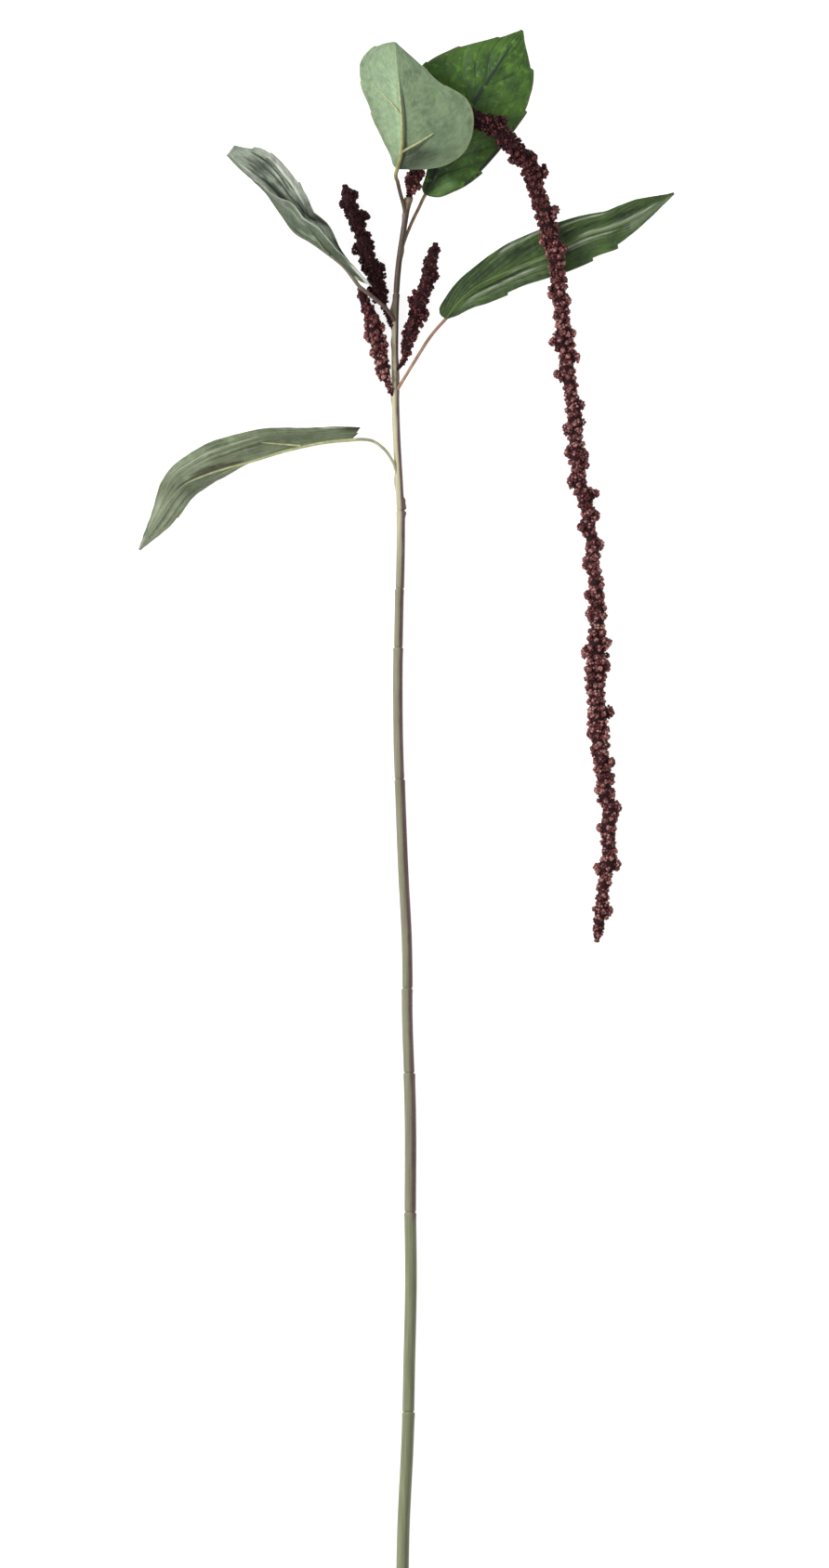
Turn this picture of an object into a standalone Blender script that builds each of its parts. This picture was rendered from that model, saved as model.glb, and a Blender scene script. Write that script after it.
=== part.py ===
"""An amaranth spray, laid on its side on a flat surface.

One cut stem carries five leaves, three short seed spikes in the leaf axils, and the long seed
tassel that bows over from the top of the stem and trails beside it. +Y runs along the stem
towards the tassel's bow, +Z is up, and the surface is z = 0. The origin is on the flat underside
of the stem, halfway along the spray. Lengths in the tables are in millimetres.
"""

import math
import random

import bmesh
import bpy
import numpy as np
from mathutils import Euler, Vector

MM = 0.001
SPRAY = "amaranth_spray"

# Touching pieces keep this much room between their surfaces
SEAT_GAP = 0.3
ROOT_INSET = 0.5
SHARP_DEGREES = 40

# Stem: the y at which each moulded length starts, and its radius. The last one ends in the cup.
STEM_LENGTHS = (
    (-500.4, 4.05), (-392.4, 3.85), (-263.4, 3.75), (-173.4, 3.5), (-118.8, 3.35),
    (16.2, 3.15), (101.4, 2.85), (139.2, 2.75), (189.6, 2.5), (268.0, 2.15), (330.0, 1.95),
)
STEM_TOP = 392.0
# Distance below the stem's top, and radius, of each ring of the cup
CUP_RINGS = ((5.0, 2.3), (2.5, 2.9), (0.0, 2.6))
CUP_DEPTH = 9.0
STEM_ROUTE = (
    (1.2, -500.4), (2.1, -464.4), (4.2, -417.6), (5.4, -380.4), (6.6, -320.4), (6.2, -260.4),
    (6.2, -200.4), (4.7, -140.4), (4.0, -90.0), (1.7, -43.2), (0.0, 0.0), (-1.3, 39.6),
    (-1.7, 87.6), (-0.7, 129.6), (0.1, 174.6), (-0.7, 206.4), (-2.7, 243.6), (-3.6, 273.6),
    (-3.3, 315.6), (-1.5, 345.6), (1.8, 369.6), (4.5, 386.4), (5.4, 392.0),
)
# The stem's axis lies this share of its radius above the surface, so that its underside is flat
LIE_SHARE = 0.95
FLAT_BELOW = 0.06
# Past this y the top of the stem lifts off the surface
RISE_FROM = 272.0
RISE_HEIGHT = 8.4
JOINT_SHARE = 0.74
JOINT_ROUNDING = 1.5
CUT_END_SHARE = 0.96
STEM_RING_STEP = 55.0
STEM_SIDES = 10
BUD_Y = 192.0
BUD_OFFSET = (1.9, 0.0, 0.6)
BUD_RADIUS = 2.1
SWELLING_RADIUS = 2.3
SWELLING_OUT = 1.2
STEM_COLOUR = (0.22, 0.21, 0.13)

# Leaves
BLADE_THICKNESS = 0.7
BLADE_STATIONS = 20
BLADE_COLUMNS = 3
LEAST_HALF_WIDTH = 0.35
# A tooth rises over this share of the leaf's length
TOOTH_SPAN = 0.14
STALK_SIDES = 8
STALK_STEPS = 5
# The stalk runs beside the midrib's line for this far before the blade starts
STALK_APPROACH = 4.5
RIB_SPAN = 0.7
RIB_STEPS = 9
RIB_THINNING = 0.68
RIB_MARGIN = 0.35
SIDE_RIB_SIDES = 6
SIDE_RIB_STEPS = 4
SIDE_RIB_START = 0.92
SIDE_RIB_THINNING = 0.35

# Seed heads
SEED_ROWS = 8
SEED_LENGTH = 4.3
SEED_REACH = (0.92, 1.05)
CORE_SHARE = 0.62
CORE_CLEAR = 0.8
CLUSTER_PITCH = 9.6
CLUSTER_REACH = (1.0, 1.2)
CLUSTER_LENGTH = 4.4
CLUSTER_ARC = 0.9
BETWEEN_CLUSTERS = 0.8
# A head is rounded over this length at both ends, which are cut off at this share of it
END_ROUNDING = 5.0
LEAST_END = 0.06
LOOSE_SEED_RADIUS = 2.4
LOOSE_SEEDS = 2
LOOSE_SEED_SPREAD = 2.6
LOOSE_SEED_ARC = 0.4
GOLDEN_ANGLE = math.radians(137.5)
FOOT_RADIUS = 1.3
FOOT_SUNK = 8.0
HEAD_SEED = 7
SEED_COLOUR = (0.085, 0.018, 0.02)


class Route:
    """A smooth line through a few points, read by its share of the length."""

    STEPS = 24

    def __init__(self, points):
        self.points = self._through([Vector(p) for p in points])
        spans = [(b - a).length for a, b in zip(self.points, self.points[1:])]
        self.lengths = np.concatenate([[0.0], np.cumsum(spans)])
        self.length = float(self.lengths[-1])
        self.table = np.array(self.points)

    def _through(self, knots):
        ends = [2 * knots[0] - knots[1], *knots, 2 * knots[-1] - knots[-2]]
        line = []
        for a, b, c, d in zip(ends, ends[1:], ends[2:], ends[3:]):
            for step in range(self.STEPS):
                t = step / self.STEPS
                line.append(
                    0.5 * (2 * b + (c - a) * t + (2 * a - 5 * b + 4 * c - d) * t**2
                           + (3 * b - a - 3 * c + d) * t**3)
                )
        return [*line, knots[-1]]

    def at(self, share):
        """The point at this share of the length, from 0 to 1."""
        reach = min(max(share, 0.0), 1.0) * self.length
        return Vector([np.interp(reach, self.lengths, column) for column in self.table.T])

    def heading(self, share):
        """The unit direction of travel there."""
        near = 0.004
        return (self.at(share + near) - self.at(share - near)).normalized()


def keyed(values, share):
    """A number that runs smoothly through evenly spaced values as share goes from 0 to 1."""
    last = len(values) - 1
    place = min(max(share, 0.0), 1.0) * last
    i = min(int(place), last - 1)
    t = place - i
    b, c = values[i], values[i + 1]
    a = values[i - 1] if i else 2 * b - c
    d = values[i + 2] if i + 2 <= last else 2 * c - b
    return 0.5 * (2 * b + (c - a) * t + (2 * a - 5 * b + 4 * c - d) * t**2
                  + (3 * b - a - 3 * c + d) * t**3)


def smoothstep(low, high, value):
    t = min(max((value - low) / (high - low), 0.0), 1.0)
    return t * t * (3 - 2 * t)


# Stem geometry that the other pieces are placed from

STEM_LINE = Route([(x, y, 0.0) for x, y in STEM_ROUTE])


def stem_radius(y):
    """Radius of the moulded length that holds this y."""
    return [radius for start, radius in STEM_LENGTHS if start <= y + 1e-6][-1]


def stem_axis(y):
    """Centre of the stem at this y."""
    x = float(np.interp(y, STEM_LINE.table[:, 1], STEM_LINE.table[:, 0]))
    height = LIE_SHARE * stem_radius(y) if y < RISE_FROM else LIE_SHARE * stem_radius(RISE_FROM)
    return Vector((x, y, height + RISE_HEIGHT * smoothstep(RISE_FROM, STEM_TOP, y)))


def rooted(root_y, points):
    """These points as a path that starts just off the stem's axis."""
    first = Vector(points[0])
    root = stem_axis(root_y)
    start = root + (first - root).normalized() * ROOT_INSET
    return [start, *[Vector(p) for p in points]]


class Half:
    """One side of a leaf blade: its width, and its angle about the midrib, from base to tip.

    Angles are in degrees, anticlockwise from the horizontal to the right of the midrib as seen
    looking towards the tip. bend adds to the angle on the way out to the margin.
    """

    def __init__(self, widths, angles, bend, slants, teeth=()):
        self.widths = widths
        self.angles = angles
        self.bend = bend
        # How far each point of the blade lies towards the tip, for each mm it is off the midrib
        self.slants = slants
        # Each tooth's point along the midrib, and its height
        self.teeth = teeth

    def notch(self, share):
        """How far the teeth stand out from the margin here: each one points to the tip."""
        rises = [
            height * (1 - (point - share) / TOOTH_SPAN)
            for point, height in self.teeth
            if share <= point + 1e-6 and point - share < TOOTH_SPAN
        ]
        return max(rises, default=0.0)


class Leaf:
    """A blade folded along its midrib, and the moulded stalk whose ribs back it."""

    def __init__(self, name, root_y, stalk, stalk_radius, midrib, right, left, base, side_ribs,
                 blade_colour, stalk_colour):
        self.name = name
        self.root = rooted(root_y, stalk)
        self.stalk_radius = stalk_radius
        self.midrib = Route(midrib)
        self.right = right
        self.left = left
        # Share of the length over which the blade's base rounds out
        self.base = base
        # Each side rib's start and end along the midrib, and the share of the half it crosses
        self.side_ribs = side_ribs
        self.blade_colour = blade_colour
        self.stalk_colour = stalk_colour

    def frame(self, share):
        """Midrib point, its heading, and the horizontal and upward directions across it."""
        along = self.midrib.heading(share)
        across = Vector((along.y, -along.x, 0.0)).normalized()
        return self.midrib.at(share), along, across, across.cross(along)

    def half(self, side):
        return self.right if side >= 0 else self.left

    def width(self, share, side):
        """Distance from the midrib to the margin, without its teeth."""
        width = keyed(self.half(side).widths, share)
        if share < self.base:
            width *= math.sqrt(1 - (1 - share / self.base) ** 2)
        return max(width, LEAST_HALF_WIDTH)

    def point(self, share, side):
        """A point of the blade: side runs from -1 at the left margin to 1 at the right one."""
        middle, along, across, up = self.frame(share)
        half, out = self.half(side), abs(side)
        angle = math.radians(keyed(half.angles, share) + half.bend * out)
        reach = out * self.width(share, side) + half.notch(share) * out**5
        way = math.cos(angle) * across + math.sin(angle) * up
        return middle + reach * (way + keyed(half.slants, share) * along)

    def turn(self, share):
        """1 where the underside is on the right half's anticlockwise side, and -1 elsewhere."""
        return 1 if keyed(self.right.angles, share) > keyed(self.left.angles, share) else -1

    def underside(self, share, side):
        """Unit direction out of the underside: at the midrib, the keel's outward direction."""
        _, _, across, up = self.frame(share)
        right, left = keyed(self.right.angles, share), keyed(self.left.angles, share)
        if side == 0:
            angle = math.radians((right + left) / 2 + 180)
        else:
            half = self.half(side)
            quarter = 90 * self.turn(share) * (1 if side > 0 else -1)
            angle = math.radians(keyed(half.angles, share) + half.bend * abs(side) + quarter)
        return math.cos(angle) * across + math.sin(angle) * up


LEAVES = (
    # The pale leaf at the crown, underside up, arched over the start of the tassel
    Leaf(
        name="crown_front",
        root_y=381.0,
        stalk=[(1.6, 388.0, 12.6), (-0.6, 396.0, 17.0), (-2.0, 402.0, 21.6)],
        stalk_radius=1.25,
        midrib=[(-1.8, 409.8, 26.6), (0.6, 420.0, 29.4), (1.2, 432.0, 31.4), (0.6, 446.0, 32.4),
                (-0.6, 460.0, 32.4), (-2.2, 474.0, 31.0), (-3.6, 491.5, 27.0)],
        right=Half(
            widths=(15, 38.5, 46.5, 44, 25.5, 14.5, 0.5), angles=(-4, -4, -4, -6, -8, -10, -12),
            bend=-6, slants=(0.15, -0.08, -0.05, 0, 0, 0, 0), teeth=((0.62, 1.0), (0.8, 1.0)),
        ),
        left=Half(
            widths=(3, 11, 18.5, 23, 26, 23.5, 0.5), angles=(-150, -148, -146, -146, -150, -152, -155),
            bend=-6, slants=(-0.1, -0.12, -0.05, 0.05, 0.1, 0.25, 0.7),
            teeth=((0.45, 0.8), (0.7, 0.8), (0.92, 1.6)),
        ),
        base=0.03,
        side_ribs=((0.14, 0.3, 0.45), (0.42, 0.62, -0.55)),
        blade_colour=(0.27, 0.44, 0.25),
        stalk_colour=(0.33, 0.31, 0.11),
    ),
    # The broad green leaf behind the crown, face up under the tassel
    Leaf(
        name="crown_back",
        root_y=356.0,
        stalk=[(3.6, 367.0, 7.6), (8.0, 377.5, 6.6), (12.0, 385.6, 4.6)],
        stalk_radius=1.15,
        midrib=[(16.2, 394.2, 4.9), (24.6, 409.8, 4.9), (36.6, 433.8, 4.7), (49.8, 457.2, 4.6),
                (63.6, 478.8, 4.4), (78.6, 500.0, 2.6)],
        right=Half(
            widths=(6, 20, 28.5, 31.5, 29.5, 18, 0.5), angles=(-4, -4, -5, -6, -7, -8, -8),
            bend=-2, slants=(-0.25, -0.18, 0, 0.12, 0.2, 0.25, 0.1),
            teeth=((0.25, 1.6), (0.6, 1.8), (0.82, 2.2)),
        ),
        left=Half(
            widths=(3.5, 9, 28, 41, 30, 13.5, 0.5), angles=(184, 185, 185, 185, 185, 186, 186),
            bend=1, slants=(-0.3, -0.15, 0, 0.12, 0.2, 0.25, 0.1),
            teeth=((0.55, 0.9), (0.7, 0.9), (0.88, 1.0)),
        ),
        base=0.05,
        side_ribs=((0.2, 0.38, 0.5), (0.42, 0.6, -0.5)),
        blade_colour=(0.06, 0.16, 0.025),
        stalk_colour=(0.29, 0.2, 0.13),
    ),
    # The long folded leaf at the upper left, lying on its side with its near half raised
    Leaf(
        name="upper_left",
        root_y=312.0,
        stalk=[(-8.0, 318.6, 9.8), (-13.0, 323.4, 13.4), (-20.4, 329.4, 15.6)],
        stalk_radius=1.3,
        midrib=[(-28.2, 338.4, 17.8), (-36.0, 348.0, 17.4), (-46.8, 356.4, 15.6),
                (-57.6, 363.8, 13.6), (-68.0, 370.0, 12.0), (-76.0, 380.4, 11.0),
                (-84.6, 391.8, 10.4), (-94.8, 402.6, 9.4), (-104.4, 411.0, 6.8),
                (-112.0, 419.2, 1.4)],
        right=Half(
            widths=(6.5, 7, 17, 18, 7.5, 3, 0.5), angles=(40, 52, 54, 56, 64, 74, 70),
            bend=2, slants=(-1.5, -0.3, -0.1, 0.2, 0.2, 0.15, 0.25),
        ),
        left=Half(
            widths=(1, 5.5, 15.5, 19.5, 21.5, 19.5, 8), angles=(6, 0, -8, -12, -14, -12, -6),
            bend=-3, slants=(-1.5, -0.3, -0.15, 0.15, 0.2, 0.15, 0.3),
            teeth=((0.6, 1.2), (0.8, 1.4), (0.9, 1.4)),
        ),
        base=0.0,
        side_ribs=((0.2, 0.36, 0.5), (0.42, 0.58, -0.5)),
        blade_colour=(0.22, 0.3, 0.2),
        stalk_colour=(0.17, 0.09, 0.08),
    ),
    # The long green leaf on the right, face up under the tassel
    Leaf(
        name="right",
        root_y=266.0,
        stalk=[(1.4, 273.6, 3.2), (8.4, 285.0, 3.4), (17.4, 299.4, 3.2), (24.0, 308.0, 2.4)],
        stalk_radius=1.05,
        midrib=[(29.4, 313.8, 3.3), (42.0, 329.4, 3.2), (53.4, 337.0, 3.1), (69.6, 344.4, 3.0),
                (94.8, 355.4, 3.0), (120.0, 367.4, 3.2), (137.4, 372.6, 3.8),
                (154.8, 380.4, 5.0), (176.4, 394.6, 7.2)],
        right=Half(
            widths=(1.5, 12, 12.6, 15.4, 13, 5.8, 0.5), angles=(6, 6, 6, 6, 4, 0, 0),
            bend=1, slants=(-0.4, -0.2, 0, 0.15, 0.25, 0.3, 0.1),
            teeth=((0.27, 1.6), (0.59, 2.2), (0.71, 2.4)),
        ),
        left=Half(
            widths=(7.5, 10.4, 16.5, 16.2, 12.3, 11, 0.5), angles=(174, 174, 174, 174, 172, 168, 168),
            bend=-1, slants=(-0.4, -0.2, 0, 0.15, 0.25, 0.3, 0.1),
        ),
        base=0.05,
        side_ribs=((0.2, 0.34, 0.5), (0.42, 0.56, -0.5)),
        blade_colour=(0.045, 0.11, 0.035),
        stalk_colour=(0.36, 0.2, 0.14),
    ),
    # The long arched leaf at the lower left, with its far half folded under
    Leaf(
        name="lower_left",
        root_y=208.0,
        stalk=[(-4.0, 219.0, 4.6), (-9.0, 227.6, 6.6), (-17.4, 234.4, 8.8)],
        stalk_radius=1.05,
        midrib=[(-31.2, 236.2, 11.4), (-45.6, 234.8, 12.6), (-58.8, 232.4, 13.6),
                (-76.2, 228.0, 14.6), (-94.8, 222.0, 14.8), (-114.0, 216.6, 13.6),
                (-127.2, 212.0, 11.8), (-139.2, 206.4, 9.4), (-148.2, 197.4, 7.0),
                (-157.2, 183.6, 4.2), (-168.6, 164.4, 1.2)],
        right=Half(
            widths=(7, 11.2, 19.2, 20.4, 16, 6.5, 0.5), angles=(-10, -12, -14, -15, -18, -22, -22),
            bend=-4, slants=(-0.9, -0.1, 0.1, 0.15, 0.2, 0.2, 0.1),
        ),
        left=Half(
            widths=(5, 9, 10.5, 11, 12, 10.5, 0.5), angles=(-52, -62, -78, -108, -138, -152, -156),
            bend=-3, slants=(-0.9, -0.1, 0.1, 0.15, 0.2, 0.2, 0.1), teeth=((0.8, 1.0),),
        ),
        base=0.0,
        side_ribs=((0.2, 0.34, 0.5), (0.42, 0.56, -0.5)),
        blade_colour=(0.13, 0.2, 0.11),
        stalk_colour=(0.42, 0.43, 0.22),
    ),
)


class Head:
    """A seed spike or the tassel: its route, how far its seeds reach, and what lies below it."""

    def __init__(self, name, root_y, foot, route, reaches, floors=(0.0, 0.0), standouts=()):
        self.name = name
        self.root = rooted(root_y, foot)
        self.route = Route(route)
        self.reaches = reaches
        # Height of what the head lies on, along its length: the surface, or a leaf under it
        self.floors = floors
        self.standouts = [self.standout(*standout) for standout in standouts]
        self.clusters = [*self.wound_clusters(), *self.standouts]

    def standout(self, y, side, reach):
        """(distance, angle, reach) of a cluster at this y, on the left or the right."""
        last = int(np.flatnonzero(np.abs(self.route.table[:, 1] - y) < 1.0)[-1])
        distance = float(self.route.lengths[last])
        heads_up = self.route.heading(distance / self.route.length).y > 0
        return distance, 0.0 if (side > 0) == heads_up else math.pi, reach

    def wound_clusters(self):
        """(distance, angle, reach) of the clusters that wind round the head."""
        rng = random.Random(HEAD_SEED)
        count = round(self.route.length / CLUSTER_PITCH)
        for i in range(count + 1):
            distance = self.route.length * (i + rng.uniform(-0.2, 0.2)) / count
            reach = keyed(self.reaches, distance / self.route.length) * rng.uniform(*CLUSTER_REACH)
            yield distance, i * GOLDEN_ANGLE + rng.uniform(-0.4, 0.4), reach

    def reach(self, distance, angle):
        """How far the seeds reach from the axis here: further out where a cluster is."""
        low = BETWEEN_CLUSTERS * keyed(self.reaches, distance / self.route.length)
        from_end = min(distance, self.route.length - distance)
        inwards = min(max(from_end / END_ROUNDING, LEAST_END), 1.0)
        high = low
        for place, turn, reach in self.clusters:
            aside = (distance - place) / CLUSTER_LENGTH
            if abs(aside) < 2.2:
                round_it = math.remainder(angle - turn, math.tau) / CLUSTER_ARC
                high = max(high, low + (reach - low) * math.exp(-(aside**2 + round_it**2)))
        return high * math.sqrt(1 - (1 - inwards) ** 2)

    def frame(self, distance):
        """Axis point, and the horizontal and upward directions across the axis."""
        share = distance / self.route.length
        along = self.route.heading(share)
        across = Vector((along.y, -along.x, 0.0)).normalized()
        return self.route.at(share), across, across.cross(along)

    def point(self, distance, angle, out, clear):
        """A point this far out from the axis, kept clear of whatever the head lies on."""
        place, across, up = self.frame(distance)
        centre = place + out * (math.cos(angle) * across + math.sin(angle) * up)
        floor = max(0.0, keyed(self.floors, distance / self.route.length))
        centre.z = max(centre.z, floor + clear)
        return centre


# Clusters of the tassel that stand out at its sides: the y they are at, the side, and the reach
TASSEL_STANDOUTS = (
    (437.0, 1, 10.2), (421.0, -1, 9.8), (407.0, 1, 10.6), (381.5, 1, 11.2), (366.0, -1, 8.6),
    (358.5, 1, 9.4), (330.5, -1, 8.4), (325.0, 1, 8.0), (304.0, 1, 9.0), (300.0, -1, 10.2),
    (289.0, 1, 9.4), (279.0, -1, 10.2), (258.0, 1, 8.2), (244.0, -1, 9.0), (228.0, -1, 8.9),
    (226.0, 1, 8.2), (210.0, -1, 9.0), (199.0, 1, 11.4), (186.0, 1, 8.2), (180.0, -1, 9.0),
    (168.0, 1, 8.8), (155.0, -1, 8.2), (136.0, -1, 9.2), (124.0, -1, 8.8), (105.0, 1, 9.8),
    (99.0, -1, 11.0), (91.0, 1, 9.8), (59.0, 1, 11.8), (47.0, -1, 8.8), (27.0, 1, 9.2),
    (11.0, -1, 8.2), (-2.0, 1, 9.2), (-15.0, -1, 9.2), (-37.0, 1, 9.8), (-41.0, -1, 9.2),
    (-67.0, 1, 8.8),
)

HEADS = (
    Head(
        name="seed_spike_upper_left",
        root_y=304.5,
        foot=[(-5.8, 309.5, 4.4), (-8.4, 316.0, 5.4), (-10.6, 321.4, 6.2)],
        route=[(-10.6, 321.4, 6.2), (-15.6, 338.0, 7.0), (-20.4, 352.0, 7.4),
               (-25.8, 369.0, 7.2), (-32.2, 386.4, 7.0), (-36.0, 399.4, 6.4)],
        reaches=(5.0, 8.4, 7.4, 7.0, 6.8, 6.6, 5.2),
        standouts=((392.0, 1, 7.8), (388.0, -1, 7.6), (377.0, 1, 9.8), (359.0, -1, 9.8),
                   (347.0, -1, 7.6), (344.5, 1, 9.0)),
    ),
    Head(
        name="seed_spike_lower_left",
        root_y=262.0,
        foot=[(-6.4, 266.8, 4.2), (-8.2, 271.4, 5.0)],
        route=[(-8.2, 271.4, 5.0), (-11.2, 284.0, 5.6), (-14.8, 298.8, 5.8),
               (-18.8, 312.6, 5.4), (-23.0, 325.0, 5.0), (-26.2, 333.0, 4.8)],
        reaches=(4.8, 6.0, 7.4, 7.8, 6.8, 5.6, 4.8),
        standouts=((306.0, 1, 8.0), (304.0, -1, 8.2), (292.0, -1, 7.6), (279.0, -1, 6.6)),
    ),
    Head(
        name="seed_spike_right",
        root_y=279.5,
        foot=[(1.0, 284.6, 4.8), (2.6, 288.0, 5.4)],
        route=[(2.6, 288.0, 5.4), (5.8, 302.0, 6.4), (10.8, 318.6, 6.8), (16.4, 338.0, 6.6),
               (20.0, 350.0, 6.6), (22.6, 362.0, 6.0)],
        reaches=(4.6, 6.4, 7.8, 7.8, 6.4, 6.6, 4.8),
        standouts=((342.0, 1, 8.0), (323.0, -1, 7.8), (317.0, 1, 8.8)),
    ),
    Head(
        name="seed_tassel",
        root_y=387.5,
        foot=[(5.4, 392.6, 11.0), (6.2, 395.2, 11.6)],
        route=[(6.2, 395.2, 11.6), (9.2, 404.4, 13.2), (13.0, 417.6, 14.6), (19.8, 430.8, 15.0),
               (31.2, 441.0, 15.0), (45.6, 443.4, 15.0), (59.4, 437.4, 14.8),
               (70.8, 426.6, 14.6), (83.4, 412.6, 14.4), (88.2, 393.6, 14.2),
               (94.2, 375.6, 14.0), (100.2, 351.6, 13.6), (102.6, 327.6, 12.8),
               (105.0, 303.6, 10.0), (108.0, 279.6, 7.6), (111.6, 255.6, 6.4),
               (113.4, 231.6, 6.2), (115.8, 207.6, 6.2), (121.2, 186.0, 6.2),
               (124.2, 159.6, 6.2), (127.2, 129.6, 6.2), (126.6, 99.6, 6.2), (126.0, 72.6, 6.2),
               (128.4, 42.6, 6.2), (130.8, 18.6, 6.2), (134.4, -3.6, 6.2), (134.4, -26.4, 6.2),
               (132.0, -47.4, 6.0), (129.0, -68.4, 5.8), (126.6, -88.2, 5.2)],
        reaches=(7.4, 8.2, 8.4, 8.2, 7.6, 7.4, 6.6, 7.4, 6.2, 7.0, 8.6, 8.0, 7.2, 6.4, 4.8),
        floors=(6.6, 6.6, 6.4, 6.2, 6.0, 0.0, 0.0, 0.0, 0.0, 0.0, 0.0, 0.0, 0.0, 0.0),
        standouts=TASSEL_STANDOUTS,
    ),
)


# Building tools


def clear_scene():
    for obj in list(bpy.data.objects):
        bpy.data.objects.remove(obj)


def make_collection(name, parent):
    collection = bpy.data.collections.new(name)
    parent.children.link(collection)
    return collection


def give_material(obj, colour, roughness):
    material = bpy.data.materials.new(obj.name)
    material.use_nodes = True
    shader = material.node_tree.nodes["Principled BSDF"]
    shader.inputs["Base Color"].default_value = (*colour, 1.0)
    shader.inputs["Roughness"].default_value = roughness
    shader.inputs["Metallic"].default_value = 0.0
    obj.data.materials.clear()
    obj.data.materials.append(material)


def evaluated_mesh(obj):
    bpy.context.view_layer.update()
    graph = bpy.context.evaluated_depsgraph_get()
    return bpy.data.meshes.new_from_object(obj.evaluated_get(graph), depsgraph=graph)


def weld(mesh):
    """Joins the caps of a tube to its sides, and turns every face outwards."""
    shape = bmesh.new()
    shape.from_mesh(mesh)
    bmesh.ops.remove_doubles(shape, verts=shape.verts, dist=0.002 * MM)
    bmesh.ops.recalc_face_normals(shape, faces=shape.faces)
    shape.to_mesh(mesh)
    shape.free()


def tube(name, points, radii, sides, collection):
    """A closed tube along these points, with its own radius at each, as a mesh object."""
    curve = bpy.data.curves.new(name, "CURVE")
    curve.dimensions = "3D"
    curve.bevel_depth = MM
    curve.bevel_resolution = (sides - 4) // 2
    curve.use_fill_caps = True
    spline = curve.splines.new("POLY")
    spline.points.add(len(points) - 1)
    for knot, point, radius in zip(spline.points, points, radii):
        knot.co = (*(point * MM), 1.0)
        knot.radius = radius
    line = bpy.data.objects.new(name + "_line", curve)
    collection.objects.link(line)
    mesh = evaluated_mesh(line)
    weld(mesh)
    bpy.data.objects.remove(line)
    made = bpy.data.objects.new(name, mesh)
    collection.objects.link(made)
    return made


def combine(obj, operation, others, solver="EXACT"):
    """Joins these objects to obj, or cuts them from it, and removes them."""
    group = make_collection("operands", bpy.context.scene.collection)
    for other in others:
        for holder in list(other.users_collection):
            holder.objects.unlink(other)
        group.objects.link(other)
    modifier = obj.modifiers.new(operation.lower(), "BOOLEAN")
    modifier.operation = operation
    modifier.operand_type = "COLLECTION"
    modifier.collection = group
    modifier.solver = solver
    joined = evaluated_mesh(obj)
    obj.modifiers.clear()
    obj.data = joined
    for other in list(group.objects):
        bpy.data.objects.remove(other)
    bpy.data.collections.remove(group)


def ball(name, centre, radius, segments, rings, collection, turn=(0.0, 0.0, 0.0)):
    mesh = bpy.data.meshes.new(name)
    shape = bmesh.new()
    bmesh.ops.create_uvsphere(shape, u_segments=segments, v_segments=rings, radius=radius * MM)
    shape.to_mesh(mesh)
    shape.free()
    made = bpy.data.objects.new(name, mesh)
    made.location = centre * MM
    made.rotation_euler = turn
    collection.objects.link(made)
    return made


def finish(obj, colour, roughness):
    give_material(obj, colour, roughness)
    obj.data.shade_smooth()
    obj.data.set_sharp_from_angle(angle=math.radians(SHARP_DEGREES))


# Stem


def stem_rings():
    """(y, share of the radius) of each ring: a groove at each joint, and rounded ends."""
    rings = []
    starts = [start for start, _ in STEM_LENGTHS]
    for start, end in zip(starts, [*starts[1:], STEM_TOP - CUP_DEPTH]):
        body = [start + JOINT_ROUNDING, end - JOINT_ROUNDING]
        steps = max(1, round((body[1] - body[0]) / STEM_RING_STEP))
        span = (body[1] - body[0]) / steps
        rings.append((start + 0.01, JOINT_SHARE))
        rings += [(body[0] + span * i, 1.0) for i in range(steps + 1)]
    return rings


def make_stem(collection, tools):
    rings = [(stem_axis(y), stem_radius(y) * share) for y, share in stem_rings()]
    rings[0] = (rings[0][0], STEM_LENGTHS[0][1] * CUT_END_SHARE)
    rings += [(stem_axis(STEM_TOP - below), radius) for below, radius in CUP_RINGS]
    stem = tube("stem", *zip(*rings), STEM_SIDES, collection)
    for vert in stem.data.vertices:
        if vert.co.z < FLAT_BELOW * MM:
            vert.co.z = 0.0
    bud = stem_axis(BUD_Y) + Vector(BUD_OFFSET)
    knobs = [ball("bud", bud, BUD_RADIUS, 7, 5, tools)]
    for piece in (*LEAVES, *HEADS[:-1]):
        swelling = piece.root[0] + (piece.root[1] - piece.root[0]).normalized() * SWELLING_OUT
        knobs.append(ball("swelling", swelling, SWELLING_RADIUS, 7, 4, tools))
    combine(stem, "UNION", knobs)
    return stem


def seat_cutter(path, radius, collection):
    """The hole that a root sits in: its own line, thicker by the gap and a little longer."""
    back = path[0] + (path[0] - path[1]).normalized() * SEAT_GAP
    radii = [radius + SEAT_GAP] * (len(path) + 1)
    return tube("seat", [back, *path], radii, STALK_SIDES, collection)


# Leaves


def make_blade(leaf, collection):
    """The blade: a flat grid laid onto the leaf's surface, then given its thickness."""
    mesh = bpy.data.meshes.new("leaf_blade_" + leaf.name)
    shape = bmesh.new()
    bmesh.ops.create_grid(
        shape, x_segments=BLADE_STATIONS, y_segments=2 * BLADE_COLUMNS, size=1.0
    )
    bmesh.ops.triangulate(shape, faces=shape.faces)
    for vert in shape.verts:
        place = leaf.point((vert.co.x + 1) / 2, vert.co.y)
        place.z = max(place.z, BLADE_THICKNESS / 2)
        vert.co = place * MM
    shape.to_mesh(mesh)
    shape.free()
    blade = bpy.data.objects.new(mesh.name, mesh)
    collection.objects.link(blade)
    thicken = blade.modifiers.new("thickness", "SOLIDIFY")
    thicken.thickness = BLADE_THICKNESS * MM
    thicken.offset = 0.0
    return blade


def rib_radius(leaf, share):
    """The rib thins from the stalk to its end."""
    return leaf.stalk_radius * (1 - RIB_THINNING * share)


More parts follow.
